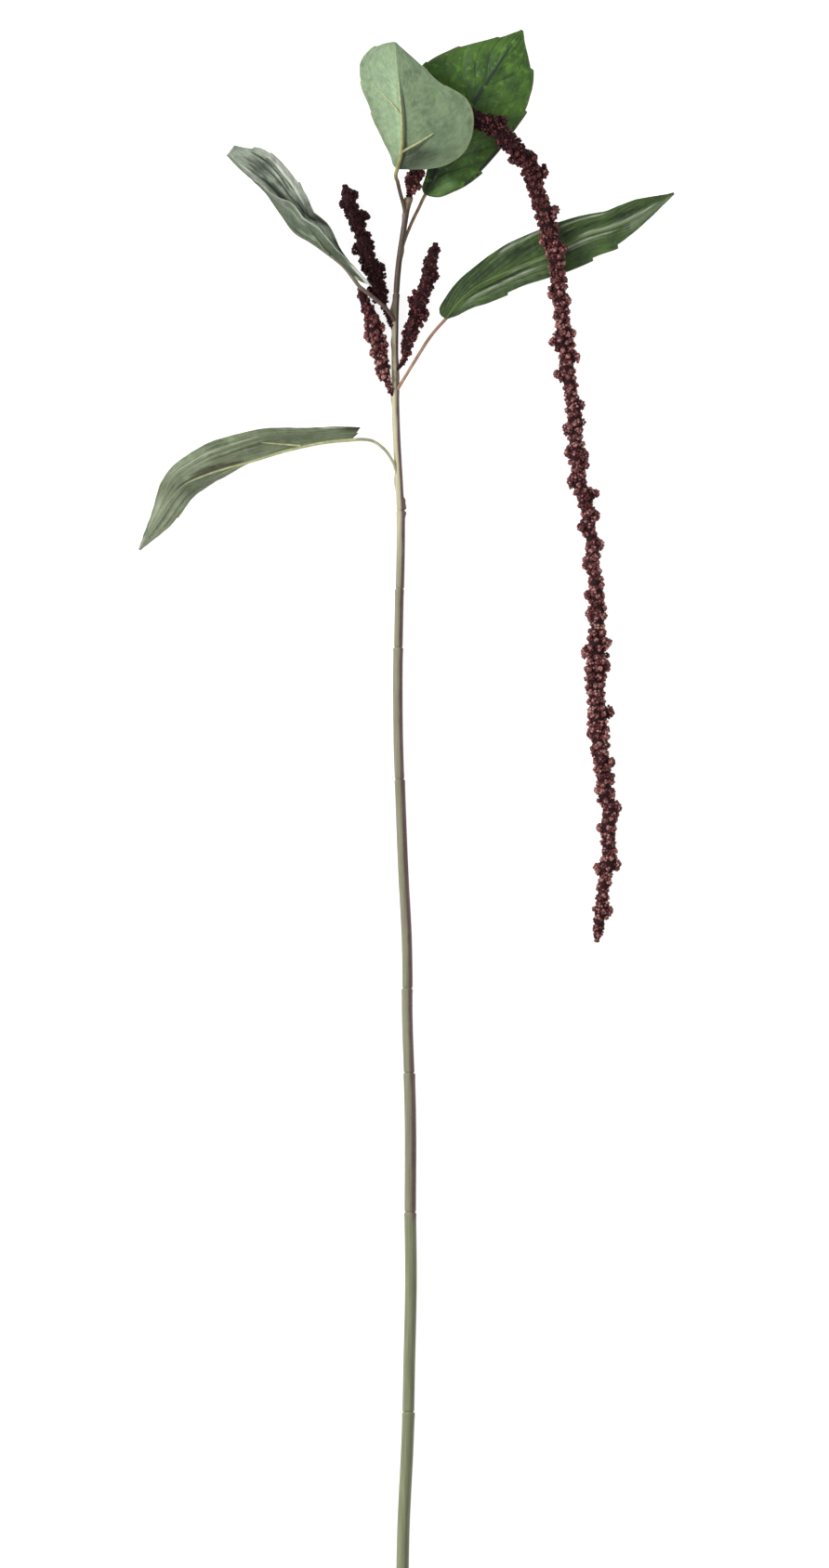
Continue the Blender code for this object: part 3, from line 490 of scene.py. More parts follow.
LEAVES = (
    # The pale leaf at the crown, underside up, arched over the start of the tassel
    Leaf(
        name="crown_front",
        slot="leaf_pale",
        root_y=381.0,
        stalk=[(1.6, 388.0, 12.6), (-0.6, 396.0, 17.0), (-2.0, 402.0, 21.6)],
        stalk_radius=1.25,
        midrib=[(-1.8, 409.8, 26.6), (0.6, 420.0, 29.4), (1.2, 432.0, 31.4), (0.6, 446.0, 32.4),
                (-0.6, 460.0, 32.4), (-2.2, 474.0, 31.0), (-3.6, 491.5, 27.0)],
        right=Half(
            widths=(15, 38.5, 46.5, 44, 25.5, 14.5, 0.5), angles=(-4, -4, -4, -6, -8, -10, -12),
            bend=-6, slants=(0.15, -0.08, -0.05, 0, 0, 0, 0), teeth=((0.62, 1.0), (0.8, 1.0)),
        ),
        left=Half(
            widths=(3, 11, 18.5, 23, 26, 23.5, 0.5), angles=(-150, -148, -146, -146, -150, -152, -155),
            bend=-6, slants=(-0.1, -0.12, -0.05, 0.05, 0.1, 0.25, 0.7),
            teeth=((0.45, 0.8), (0.7, 0.8), (0.92, 1.6)),
        ),
        base=0.03,
        side_ribs=((0.14, 0.3, 0.45), (0.42, 0.62, -0.55)),
        look=Look(
            face=(srgb(70, 105, 55), srgb(100, 135, 80)),
            back=(srgb(112, 134, 100), srgb(140, 162, 124)),
            vein=srgb(160, 185, 140), rim=srgb(158, 172, 124),
            pale=srgb(176, 208, 160), shade=srgb(54, 66, 46),
            veins=15, lean=0.22, vein_depth=0.12, vein_tint=0.02, wrinkle=0.9, mottle=0.8,
            grain=(34.0, 12.0), streaky=1.3,
            strokes=(
                ((-0.1, -0.5), (1.2, -0.5), 0.62, 0.3), ((0.1, -0.14), (0.9, -0.14), 0.1, 0.3),
                ((-0.05, 0.05), (0.85, 0.03), 0.025, -1.0), ((-0.06, 0.3), (0.24, 0.3), 0.5, -0.7),
                ((0.12, 0.12), (0.32, 0.5), 0.03, -0.5), ((0.2, 0.75), (0.5, 0.8), 0.2, -0.1),
                ((0.55, 0.5), (0.95, 0.4), 0.3, 0.15), ((0.1, -0.9), (0.5, -0.92), 0.12, -0.4),
                ((-0.04, -0.3), (0.12, -0.3), 0.3, -0.3),
            ),
        ),
        stalk_colours=(srgb(92, 74, 56), srgb(158, 156, 96), srgb(196, 200, 156)),
    ),
    # The broad green leaf behind the crown, face up under the tassel
    Leaf(
        name="crown_back",
        slot="leaf_green",
        root_y=356.0,
        stalk=[(3.6, 367.0, 7.6), (8.0, 377.5, 6.6), (12.0, 385.6, 4.6)],
        stalk_radius=1.15,
        midrib=[(16.2, 394.2, 4.9), (24.6, 409.8, 4.9), (36.6, 433.8, 4.7), (49.8, 457.2, 4.6),
                (63.6, 478.8, 4.4), (78.6, 500.0, 2.6)],
        right=Half(
            widths=(6, 20, 28.5, 31.5, 29.5, 18, 0.5), angles=(-4, -4, -5, -6, -7, -8, -8),
            bend=-2, slants=(-0.25, -0.18, 0, 0.12, 0.2, 0.25, 0.1),
            teeth=((0.25, 1.6), (0.6, 1.8), (0.82, 2.2)),
        ),
        left=Half(
            widths=(3.5, 9, 28, 41, 30, 13.5, 0.5), angles=(184, 185, 185, 185, 185, 186, 186),
            bend=1, slants=(-0.3, -0.15, 0, 0.12, 0.2, 0.25, 0.1),
            teeth=((0.55, 0.9), (0.7, 0.9), (0.88, 1.0)),
        ),
        base=0.05,
        side_ribs=((0.2, 0.38, 0.5), (0.42, 0.6, -0.5)),
        look=Look(
            face=(srgb(40, 76, 14), srgb(76, 116, 30)),
            back=(srgb(110, 140, 95), srgb(135, 165, 115)),
            vein=srgb(34, 58, 28), rim=srgb(92, 84, 48),
            pale=srgb(116, 152, 92), shade=srgb(24, 38, 30),
            veins=11, lean=0.24, vein_depth=0.6, vein_tint=0.12, wrinkle=1.0, mottle=0.9,
            grain=(20.0, 12.0), spots=True,
            strokes=(
                ((-0.04, -0.3), (0.26, -0.2), 0.34, -0.9), ((-0.04, 0.16), (0.2, 0.1), 0.16, -0.7),
                ((0.0, 0.62), (0.16, 0.62), 0.34, 0.8), ((0.2, 0.5), (0.5, 0.42), 0.22, 0.35),
                ((0.06, 0.98), (0.44, 0.98), 0.07, -1.0), ((0.44, 0.025), (1.0, 0.02), 0.025, -0.9),
                ((0.44, -0.02), (1.0, -0.02), 0.02, -0.6), ((0.5, 0.3), (0.9, 0.5), 0.2, 0.2),
            ),
        ),
        stalk_colours=(srgb(138, 112, 86), srgb(160, 138, 104), srgb(120, 140, 80)),
    ),
    # The long folded leaf at the upper left, lying on its side with its near half raised
    Leaf(
        name="upper_left",
        slot="leaf_grey",
        root_y=312.0,
        stalk=[(-8.0, 318.6, 9.8), (-13.0, 323.4, 13.4), (-20.4, 329.4, 15.6)],
        stalk_radius=1.3,
        midrib=[(-28.2, 338.4, 17.8), (-36.0, 348.0, 17.4), (-46.8, 356.4, 15.6),
                (-57.6, 363.8, 13.6), (-68.0, 370.0, 12.0), (-76.0, 380.4, 11.0),
                (-84.6, 391.8, 10.4), (-94.8, 402.6, 9.4), (-104.4, 411.0, 6.8),
                (-112.0, 419.2, 1.4)],
        right=Half(
            widths=(6.5, 7, 17, 18, 7.5, 3, 0.5), angles=(40, 52, 54, 56, 64, 74, 70),
            bend=2, slants=(-1.5, -0.3, -0.1, 0.2, 0.2, 0.15, 0.25),
        ),
        left=Half(
            widths=(1, 5.5, 15.5, 19.5, 21.5, 19.5, 8), angles=(6, 0, -8, -12, -14, -12, -6),
            bend=-3, slants=(-1.5, -0.3, -0.15, 0.15, 0.2, 0.15, 0.3),
            teeth=((0.6, 1.2), (0.8, 1.4), (0.9, 1.4)),
        ),
        base=0.0,
        side_ribs=((0.2, 0.36, 0.5), (0.42, 0.58, -0.5)),
        look=Look(
            face=(srgb(112, 124, 106), srgb(170, 180, 162)),
            back=(srgb(44, 63, 33), srgb(93, 109, 79)),
            vein=srgb(150, 160, 140), rim=srgb(165, 174, 155),
            pale=srgb(214, 218, 206), shade=srgb(40, 54, 36),
            veins=13, lean=0.45, vein_depth=0.5, vein_tint=0.05, wrinkle=1.2, mottle=0.7,
            grain=(7.0, 30.0), streaky=1.2,
            strokes=(
                ((0.36, -0.8), (0.64, -0.5), 0.035, -1.2), ((0.48, -0.4), (0.82, -0.2), 0.06, -1.0),
                ((0.3, -0.66), (0.62, -0.38), 0.03, -1.0), ((0.34, -0.6), (0.6, -0.6), 0.025, 0.9),
                ((0.56, -0.6), (0.94, -0.8), 0.03, -1.1), ((0.72, -0.4), (0.94, -0.5), 0.1, -0.6),
                ((0.62, -0.5), (0.9, -0.66), 0.02, -0.8), ((0.66, -0.36), (0.9, -0.42), 0.02, 0.7),
                ((0.42, -0.74), (0.86, -0.88), 0.035, 1.0), ((0.5, -0.54), (0.8, -0.7), 0.022, 1.0),
                ((0.68, -0.12), (0.94, -0.1), 0.06, 0.8), ((0.92, -0.4), (1.1, -0.4), 0.5, -0.2),
                ((0.12, -0.95), (0.44, -0.9), 0.13, -0.9), ((0.5, -0.95), (0.9, -0.95), 0.1, 0.4),
                ((0.54, 0.85), (0.86, 0.85), 0.24, 0.4), ((-0.06, 0.85), (0.14, 0.85), 0.25, 1.0),
                ((-0.06, 0.35), (0.12, 0.35), 0.25, -0.6), ((0.14, 0.95), (0.56, 0.96), 0.05, 0.6),
                ((0.3, 0.3), (0.5, 0.4), 0.15, -0.35), ((0.36, 0.7), (0.6, 0.6), 0.1, 0.3),
            ),
            creases=(
                ((0.34, -0.42), (0.95, -0.34), 0.05, 1.1), ((0.32, -0.55), (0.9, -0.58), 0.05, 1.2),
                ((0.34, -0.72), (0.8, -0.8), 0.04, 0.8), ((0.45, -0.28), (1.0, -0.2), 0.05, 0.7),
            ),
        ),
        stalk_colours=(srgb(104, 82, 76), srgb(118, 108, 92), srgb(112, 126, 98)),
    ),
    # The long green leaf on the right, face up under the tassel
    Leaf(
        name="right",
        slot="leaf_dark",
        root_y=266.0,
        stalk=[(1.4, 273.6, 3.2), (8.4, 285.0, 3.4), (17.4, 299.4, 3.2), (24.0, 308.0, 2.4)],
        stalk_radius=1.05,
        midrib=[(29.4, 313.8, 3.3), (42.0, 329.4, 3.2), (53.4, 337.0, 3.1), (69.6, 344.4, 3.0),
                (94.8, 355.4, 3.0), (120.0, 367.4, 3.2), (137.4, 372.6, 3.8),
                (154.8, 380.4, 5.0), (176.4, 394.6, 7.2)],
        right=Half(
            widths=(1.5, 12, 12.6, 15.4, 13, 5.8, 0.5), angles=(6, 6, 6, 6, 4, 0, 0),
            bend=1, slants=(-0.4, -0.2, 0, 0.15, 0.25, 0.3, 0.1),
            teeth=((0.27, 1.6), (0.59, 2.2), (0.71, 2.4)),
        ),
        left=Half(
            widths=(7.5, 10.4, 16.5, 16.2, 12.3, 11, 0.5), angles=(174, 174, 174, 174, 172, 168, 168),
            bend=-1, slants=(-0.4, -0.2, 0, 0.15, 0.25, 0.3, 0.1),
        ),
        base=0.05,
        side_ribs=((0.2, 0.34, 0.5), (0.42, 0.56, -0.5)),
        look=Look(
            face=(srgb(36, 64, 16), srgb(76, 104, 42)),
            back=(srgb(100, 125, 90), srgb(125, 150, 110)),
            vein=srgb(126, 146, 84), rim=srgb(72, 86, 58),
            pale=srgb(164, 174, 150), shade=srgb(26, 48, 16),
            veins=12, lean=0.4, vein_depth=0.7, vein_tint=0.12, wrinkle=1.1, mottle=0.7,
            grain=(8.0, 20.0), streaky=0.9,
            strokes=(
                ((0.28, -0.84), (0.52, -0.93), 0.07, 0.7), ((0.5, -0.78), (0.74, -0.9), 0.05, 0.9),
                ((0.48, -0.42), (0.62, -0.62), 0.05, 0.6), ((0.56, -0.1), (1.0, -0.16), 0.1, 0.75),
                ((0.22, -0.66), (0.4, -0.8), 0.08, 0.5), ((0.08, -0.45), (0.5, -0.45), 0.3, -0.5),
                ((0.5, -0.35), (0.9, -0.5), 0.2, -0.4), ((0.02, -0.88), (0.3, -0.95), 0.1, -0.5),
                ((0.08, 0.3), (0.42, 0.2), 0.045, -1.1), ((0.04, 0.56), (0.52, 0.55), 0.26, 0.34),
                ((0.1, 0.44), (0.46, 0.36), 0.05, 0.5), ((0.14, 0.62), (0.5, 0.56), 0.03, -0.5),
                ((0.28, 0.1), (0.52, 0.1), 0.05, 0.5), ((0.5, 0.12), (0.76, 0.22), 0.06, 0.95),
                ((0.52, 0.26), (0.72, 0.36), 0.04, 0.5), ((-0.04, 0.5), (0.06, 0.5), 0.4, -0.7),
                ((0.44, 0.7), (0.66, 0.8), 0.3, -0.35), ((0.74, 0.4), (1.05, 0.4), 0.5, 0.4),
            ),
            creases=(((0.1, 0.3), (0.7, 0.35), 0.1, 0.5), ((0.3, -0.5), (0.95, -0.4), 0.1, 0.6)),
        ),
        stalk_colours=(srgb(176, 140, 112), srgb(168, 128, 108), srgb(120, 140, 90)),
    ),
    # The long arched leaf at the lower left, with its far half folded under
    Leaf(
        name="lower_left",
        slot="leaf_grey",
        root_y=208.0,
        stalk=[(-4.0, 219.0, 4.6), (-9.0, 227.6, 6.6), (-17.4, 234.4, 8.8)],
        stalk_radius=1.05,
        midrib=[(-31.2, 236.2, 11.4), (-45.6, 234.8, 12.6), (-58.8, 232.4, 13.6),
                (-76.2, 228.0, 14.6), (-94.8, 222.0, 14.8), (-114.0, 216.6, 13.6),
                (-127.2, 212.0, 11.8), (-139.2, 206.4, 9.4), (-148.2, 197.4, 7.0),
                (-157.2, 183.6, 4.2), (-168.6, 164.4, 1.2)],
        right=Half(
            widths=(7, 11.2, 19.2, 20.4, 16, 6.5, 0.5), angles=(-10, -12, -14, -15, -18, -22, -22),
            bend=-4, slants=(-0.9, -0.1, 0.1, 0.15, 0.2, 0.2, 0.1),
        ),
        left=Half(
            widths=(5, 9, 10.5, 11, 12, 10.5, 0.5), angles=(-52, -62, -78, -108, -138, -152, -156),
            bend=-3, slants=(-0.9, -0.1, 0.1, 0.15, 0.2, 0.2, 0.1), teeth=((0.8, 1.0),),
        ),
        base=0.0,
        side_ribs=((0.2, 0.34, 0.5), (0.42, 0.56, -0.5)),
        look=Look(
            face=(srgb(100, 126, 90), srgb(140, 160, 124)),
            back=(srgb(82, 96, 64), srgb(130, 140, 110)),
            vein=srgb(150, 158, 122), rim=srgb(118, 130, 98),
            pale=srgb(186, 196, 166), shade=srgb(58, 58, 30),
            veins=20, lean=0.3, vein_depth=0.3, vein_tint=0.0, wrinkle=1.0, mottle=0.5,
            grain=(9.0, 46.0), streaky=1.7,
            creases=(
                ((0.28, 0.5), (0.6, 0.36), 0.03, 0.35), ((0.3, 0.66), (0.7, 0.56), 0.03, 0.35),
                ((0.34, 0.8), (0.78, 0.74), 0.03, 0.3), ((0.4, 0.3), (0.66, 0.22), 0.03, 0.3),
                ((0.62, -0.3), (0.96, -0.36), 0.05, 0.35), ((0.6, -0.64), (0.92, -0.7), 0.05, 0.3),
            ),
            strokes=(
                ((0.42, 0.05), (0.76, 0.08), 0.07, -1.2), ((0.5, 0.16), (0.66, 0.22), 0.05, -0.8),
                ((0.66, -0.5), (1.2, -0.5), 0.6, 0.6), ((0.74, 0.4), (1.2, 0.4), 0.6, 0.6),
                ((0.64, -0.26), (0.98, -0.3), 0.05, -0.8), ((0.6, -0.64), (0.92, -0.7), 0.04, -0.7),
                ((0.68, 0.3), (0.94, 0.34), 0.08, -0.5), ((-0.05, 0.85), (0.07, 0.85), 0.2, -0.9),
                ((0.3, 0.58), (0.68, 0.46), 0.02, 0.5), ((0.34, 0.73), (0.74, 0.65), 0.02, 0.5),
                ((0.36, 0.42), (0.64, 0.3), 0.02, 0.45), ((0.3, 0.5), (0.62, 0.37), 0.02, -0.5),
                ((0.05, 0.92), (0.14, 0.95), 0.1, 0.8), ((0.1, 0.5), (0.6, 0.4), 0.3, -0.35),
                ((0.5, 0.7), (0.75, 0.8), 0.2, 0.25), ((0.3, 0.75), (0.6, 0.6), 0.04, 0.4),
            ),
        ),
        stalk_colours=(srgb(180, 180, 148), srgb(188, 188, 142), srgb(172, 180, 124)),
    ),
)


class Head:
    """A seed spike or the tassel: its route, how far its seeds reach, and what lies below it."""

    def __init__(self, name, root_y, foot, route, reaches, darkness, floors=(0.0, 0.0),
                 standouts=()):
        self.name = name
        self.root = rooted(root_y, foot)
        self.route = Route(route)
        self.reaches = reaches
        # How dark its seeds are along its length, from 0 to 1
        self.darkness = darkness
        # Height of what the head lies on, along its length: the surface, or a leaf under it
        self.floors = floors
        self.standouts = [self.standout(*standout) for standout in standouts]
        self.clusters = [*self.wound_clusters(), *self.standouts]

    def standout(self, y, side, reach):
        """(distance, angle, reach) of a cluster at this y, on the left or the right."""
        last = int(np.flatnonzero(np.abs(self.route.table[:, 1] - y) < NEAR_Y)[-1])
        distance = float(self.route.lengths[last])
        heads_up = self.route.heading(distance / self.route.length).y > 0
        return distance, 0.0 if (side > 0) == heads_up else math.pi, reach

    def wound_clusters(self):
        """(distance, angle, reach) of the clusters that wind round the head."""
        rng = random.Random(HEAD_SEED)
        count = round(self.route.length / CLUSTER_PITCH)
        for i in range(count + 1):
            along = i + rng.uniform(-CLUSTER_SHIFT, CLUSTER_SHIFT)
            distance = self.route.length * along / count
            reach = keyed(self.reaches, distance / self.route.length) * rng.uniform(*CLUSTER_REACH)
            yield distance, i * GOLDEN_ANGLE + rng.uniform(-CLUSTER_SWING, CLUSTER_SWING), reach

    def reach(self, distance, angle):
        """How far the seeds reach from the axis here: further out where a cluster is."""
        low = BETWEEN_CLUSTERS * keyed(self.reaches, distance / self.route.length)
        from_end = min(distance, self.route.length - distance)
        inwards = min(max(from_end / END_ROUNDING, LEAST_END), 1.0)
        high = low
        for place, turn, reach in self.clusters:
            aside = (distance - place) / CLUSTER_LENGTH
            if abs(aside) < CLUSTER_EDGE:
                round_it = math.remainder(angle - turn, math.tau) / CLUSTER_ARC
                high = max(high, low + (reach - low) * math.exp(-(aside**2 + round_it**2)))
        return high * math.sqrt(1 - (1 - inwards) ** 2)

    def frame(self, distance):
        """Axis point, and the horizontal and upward directions across the axis."""
        share = distance / self.route.length
        return self.route.at(share), *cross_frame(self.route.heading(share))

    def point(self, distance, angle, out, clear):
        """A point this far out from the axis, kept clear of whatever the head lies on."""
        place, across, up = self.frame(distance)
        centre = place + out * turned(angle, across, up)
        floor = max(0.0, keyed(self.floors, distance / self.route.length))
        centre.z = max(centre.z, floor + clear)
        return centre


# Clusters of the tassel that stand out at its sides: the y they are at, the side, and the reach
TASSEL_STANDOUTS = (
    (437.0, 1, 10.2), (421.0, -1, 9.8), (407.0, 1, 10.6), (381.5, 1, 11.2), (366.0, -1, 8.6),
    (358.5, 1, 9.4), (330.5, -1, 8.4), (325.0, 1, 8.0), (304.0, 1, 9.0), (300.0, -1, 10.2),
    (289.0, 1, 9.4), (279.0, -1, 10.2), (258.0, 1, 8.2), (244.0, -1, 9.0), (228.0, -1, 8.9),
    (226.0, 1, 8.2), (210.0, -1, 9.0), (199.0, 1, 11.4), (186.0, 1, 8.2), (180.0, -1, 9.0),
    (168.0, 1, 8.8), (155.0, -1, 8.2), (136.0, -1, 9.2), (124.0, -1, 8.8), (105.0, 1, 9.8),
    (99.0, -1, 11.0), (91.0, 1, 9.8), (59.0, 1, 11.8), (47.0, -1, 8.8), (27.0, 1, 9.2),
    (11.0, -1, 8.2), (-2.0, 1, 9.2), (-15.0, -1, 9.2), (-37.0, 1, 9.8), (-41.0, -1, 9.2),
    (-67.0, 1, 8.8),
)

HEADS = (
    Head(
        name="spike_upper_left",
        root_y=304.5,
        foot=[(-5.8, 309.5, 4.4), (-8.4, 316.0, 5.4), (-10.6, 321.4, 6.2)],
        route=[(-10.6, 321.4, 6.2), (-15.6, 338.0, 7.0), (-20.4, 352.0, 7.4),
               (-25.8, 369.0, 7.2), (-32.2, 386.4, 7.0), (-36.0, 399.4, 6.4)],
        reaches=(5.0, 8.4, 7.4, 7.0, 6.8, 6.6, 5.2),
        standouts=((392.0, 1, 7.8), (388.0, -1, 7.6), (377.0, 1, 9.8), (359.0, -1, 9.8),
                   (347.0, -1, 7.6), (344.5, 1, 9.0)),
        darkness=(0.9, 0.95, 1.0, 1.0, 1.0, 1.0, 0.95),
    ),
    Head(
        name="spike_lower_left",
        root_y=262.0,
        foot=[(-6.4, 266.8, 4.2), (-8.2, 271.4, 5.0)],
        route=[(-8.2, 271.4, 5.0), (-11.2, 284.0, 5.6), (-14.8, 298.8, 5.8),
               (-18.8, 312.6, 5.4), (-23.0, 325.0, 5.0), (-26.2, 333.0, 4.8)],
        reaches=(4.8, 6.0, 7.4, 7.8, 6.8, 5.6, 4.8),
        standouts=((306.0, 1, 8.0), (304.0, -1, 8.2), (292.0, -1, 7.6), (279.0, -1, 6.6)),
        darkness=(0.0, 0.0, 0.1, 0.35, 0.55),
    ),
    Head(
        name="spike_right",
        root_y=279.5,
        foot=[(1.0, 284.6, 4.8), (2.6, 288.0, 5.4)],
        route=[(2.6, 288.0, 5.4), (5.8, 302.0, 6.4), (10.8, 318.6, 6.8), (16.4, 338.0, 6.6),
               (20.0, 350.0, 6.6), (22.6, 362.0, 6.0)],
        reaches=(4.6, 6.4, 7.8, 7.8, 6.4, 6.6, 4.8),
        standouts=((342.0, 1, 8.0), (323.0, -1, 7.8), (317.0, 1, 8.8)),
        darkness=(0.4, 0.5, 0.6, 0.7, 0.8),
    ),
    Head(
        name="tassel",
        root_y=387.5,
        foot=[(5.4, 392.6, 11.0), (6.2, 395.2, 11.6)],
        route=[(6.2, 395.2, 11.6), (9.2, 404.4, 13.2), (13.0, 417.6, 14.6), (19.8, 430.8, 15.0),
               (31.2, 441.0, 15.0), (45.6, 443.4, 15.0), (59.4, 437.4, 14.8),
               (70.8, 426.6, 14.6), (83.4, 412.6, 14.4), (88.2, 393.6, 14.2),
               (94.2, 375.6, 14.0), (100.2, 351.6, 13.6), (102.6, 327.6, 12.8),
               (105.0, 303.6, 10.0), (108.0, 279.6, 7.6), (111.6, 255.6, 6.4),
               (113.4, 231.6, 6.2), (115.8, 207.6, 6.2), (121.2, 186.0, 6.2),
               (124.2, 159.6, 6.2), (127.2, 129.6, 6.2), (126.6, 99.6, 6.2), (126.0, 72.6, 6.2),
               (128.4, 42.6, 6.2), (130.8, 18.6, 6.2), (134.4, -3.6, 6.2), (134.4, -26.4, 6.2),
               (132.0, -47.4, 6.0), (129.0, -68.4, 5.8), (126.6, -88.2, 5.2)],
        reaches=(7.4, 8.2, 8.4, 8.2, 7.6, 7.4, 6.6, 7.4, 6.2, 7.0, 8.6, 8.0, 7.2, 6.4, 4.8),
        darkness=(0.2, 0.8, 0.75, 0.3, 0.1, 0.0, 0.05, 0.1, 0.0, 0.0, 0.0, 0.0, 0.0, 0.1),
        floors=(6.6, 6.6, 6.4, 6.2, 6.0, 0.0, 0.0, 0.0, 0.0, 0.0, 0.0, 0.0, 0.0, 0.0),
        standouts=TASSEL_STANDOUTS,
    ),
)


# Settings that a user would change


def colour_setting(name, description, colour):
    return bpy.props.FloatVectorProperty(
        name=name, description=description, subtype="COLOR", size=3, min=0.0, max=1.0,
        default=colour,
    )


def length_setting(name, description, metres):
    return bpy.props.FloatProperty(
        name=name, description=description, unit="LENGTH", min=0.0, default=metres,
        precision=5,
    )


def number_setting(name, description, value, subtype="NONE"):
    return bpy.props.FloatProperty(
        name=name, description=description, subtype=subtype, min=0.0, default=value,
    )


class StemSettings(bpy.types.PropertyGroup):
    # The pale side is the stem's own colour with painted light, and the dark side its own mauve-brown
    # with painted shade on the right, away from the key light
    lit: colour_setting("Pale side", "Colour of the stem's pale side", srgb(136, 134, 108))
    dark: colour_setting("Dark side", "Colour of the mauve-brown side", srgb(102, 78, 76))
    cream: colour_setting("Cream part", "Colour below the upper leaves", srgb(192, 186, 154))
    olive: colour_setting("Olive foot", "Colour of the lowest lengths", srgb(130, 136, 102))
    brown: colour_setting("Brown top", "Colour of the stem's top", srgb(88, 72, 60))
    sheath: colour_setting("Sheath", "Colour of the sheaths and buds", srgb(140, 122, 98))


class BladeSettings(bpy.types.PropertyGroup):
    thickness: length_setting("Thickness", "Thickness of the leaf fabric", 0.00055)
    vein_depth: length_setting("Vein depth", "How deep the side veins are pressed", 0.0003)
    wrinkle: length_setting("Wrinkle height", "How high the fabric's wrinkles are", 0.0009)


class StalkSettings(bpy.types.PropertyGroup):
    flare: number_setting("Foot flare", "How much wider a stalk is at the stem", STALK_FLARE)


class SeedSettings(bpy.types.PropertyGroup):
    diameter: length_setting("Seed diameter", "Diameter of one seed bead", 0.0021)
    dark: colour_setting("Dark seed", "Colour of the darkest seeds", srgb(44, 17, 21))
    middle: colour_setting("Burgundy seed", "Colour of most seeds", srgb(109, 59, 60))
    light: colour_setting("Light seed", "Colour of the lightest seeds", srgb(190, 138, 132))
    fibre: colour_setting("Fibre", "Colour of the stray fibres", srgb(176, 160, 150))


class StageSettings(bpy.types.PropertyGroup):
    floor: colour_setting("Floor", "Colour of the floor", (0.55, 0.55, 0.55))
    glow: number_setting("Floor glow", "Light that the light table's floor gives", 0.82)
    key: number_setting("Key light", "Power of the soft light at the left", 60.0, "POWER")
    sky: number_setting("Fill light", "Strength of the even light all round", 0.55)
    height: length_setting("Camera height", "Height of the camera above the surface", 16.88)
    lens: number_setting("Lens", "Focal length of the camera", 600.0, "DISTANCE_CAMERA")


# Shader tools


class Value:
    """A socket of a material. Expressions on values add its Math nodes."""

    def __init__(self, finish, socket):
        self.finish = finish
        self.socket = socket

    def _math(self, operation, *values):
        return self.finish.node("ShaderNodeMath", {"operation": operation}, dict(enumerate(values)))

    def __add__(self, other):
        return self._math("ADD", self, other)

    __radd__ = __add__

    def __mul__(self, other):
        return self._math("MULTIPLY", self, other)

    __rmul__ = __mul__

    def __sub__(self, other):
        return self._math("SUBTRACT", self, other)

    def __abs__(self):
        return self._math("ABSOLUTE", self)


class Finish:
    """The node tree of one material."""

    def __init__(self, name, roughness):
        self.material = bpy.data.materials.new(name)
        self.material.use_nodes = True
        self.tree = self.material.node_tree
        self.shader = self.tree.nodes["Principled BSDF"]
        self.shader.inputs["Roughness"].default_value = roughness

    def node(self, kind, settings, inputs, output=0):
        """A new node: its settings, then the values or links of its sockets."""
        made = self.tree.nodes.new(kind)
        for name, setting in settings.items():
            setattr(made, name, setting)
        for key, value in inputs.items():
            self.feed(made.inputs[key], value)
        return Value(self, made.outputs[output])

    def feed(self, socket, value):
        if isinstance(value, Value):
            self.tree.links.new(value.socket, socket)
        elif isinstance(value, (tuple, list)) and len(value) == 3 and socket.type == "RGBA":
            socket.default_value = (*value, 1.0)
        else:
            socket.default_value = value

    def attribute(self, name):
        return self.node("ShaderNodeAttribute", {"attribute_name": name}, {}, "Fac")

    def place(self):
        """The point's place on the object, in metres."""
        return self.node("ShaderNodeTexCoord", {}, {}, "Object")

    def part(self, vector, axis):
        return self.node("ShaderNodeSeparateXYZ", {}, {0: vector}, axis)

    def vector(self, x, y, z):
        return self.node("ShaderNodeCombineXYZ", {}, {0: x, 1: y, 2: z})

    def noise(self, vector, scale, detail=2.0, roughness=0.5):
        return self.node(
            "ShaderNodeTexNoise", {},
            {"Vector": vector, "Scale": scale, "Detail": detail, "Roughness": roughness},
        )

    def ramp(self, value, low, high, start=0.0, end=1.0):
        """Runs smoothly from start to end as the value goes from low to high."""
        return self.node(
            "ShaderNodeMapRange", {"interpolation_type": "SMOOTHSTEP"},
            {"Value": value, "From Min": low, "From Max": high, "To Min": start, "To Max": end},
        )

    def mix(self, share, first, second, blend="MIX"):
        """A colour between two, or the second blended onto the first."""
        return self.node(
            "ShaderNodeMix", {"data_type": "RGBA", "blend_type": blend},
            {0: share, 6: first, 7: second}, 2,
        )

    def toned(self, colour, tone):
        """The colour made darker or lighter by a number."""
        return self.mix(1.0, colour, self.vector(tone, tone, tone), "MULTIPLY")

    def bump(self, height, distance):
        normal = self.node("ShaderNodeBump", {}, {"Height": height, "Distance": distance})
        self.feed(self.shader.inputs["Normal"], normal)

    def paint(self, colour):
        self.feed(self.shader.inputs["Base Color"], colour)

    def gloss(self, roughness):
        self.feed(self.shader.inputs["Roughness"], roughness)


# Modelling tools


def new_piece(name, shape, node, slot, material):
    """The finished mesh as a piece that rides on the spray and stands for a node."""
    mesh = bpy.data.meshes.new(name)
    shape.to_mesh(mesh)
    shape.free()
    mesh.shade_smooth()
    piece = bpy.data.objects.new(name, mesh)
    bpy.context.scene.collection.objects.link(piece)
    mesh.materials.append(material)
    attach(piece, BODY)
    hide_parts(node)
    return piece


def float_layers(shape, *names):
    """Layers of the mesh that hold one number for each vertex."""
    return [shape.verts.layers.float.new(name) for name in names]


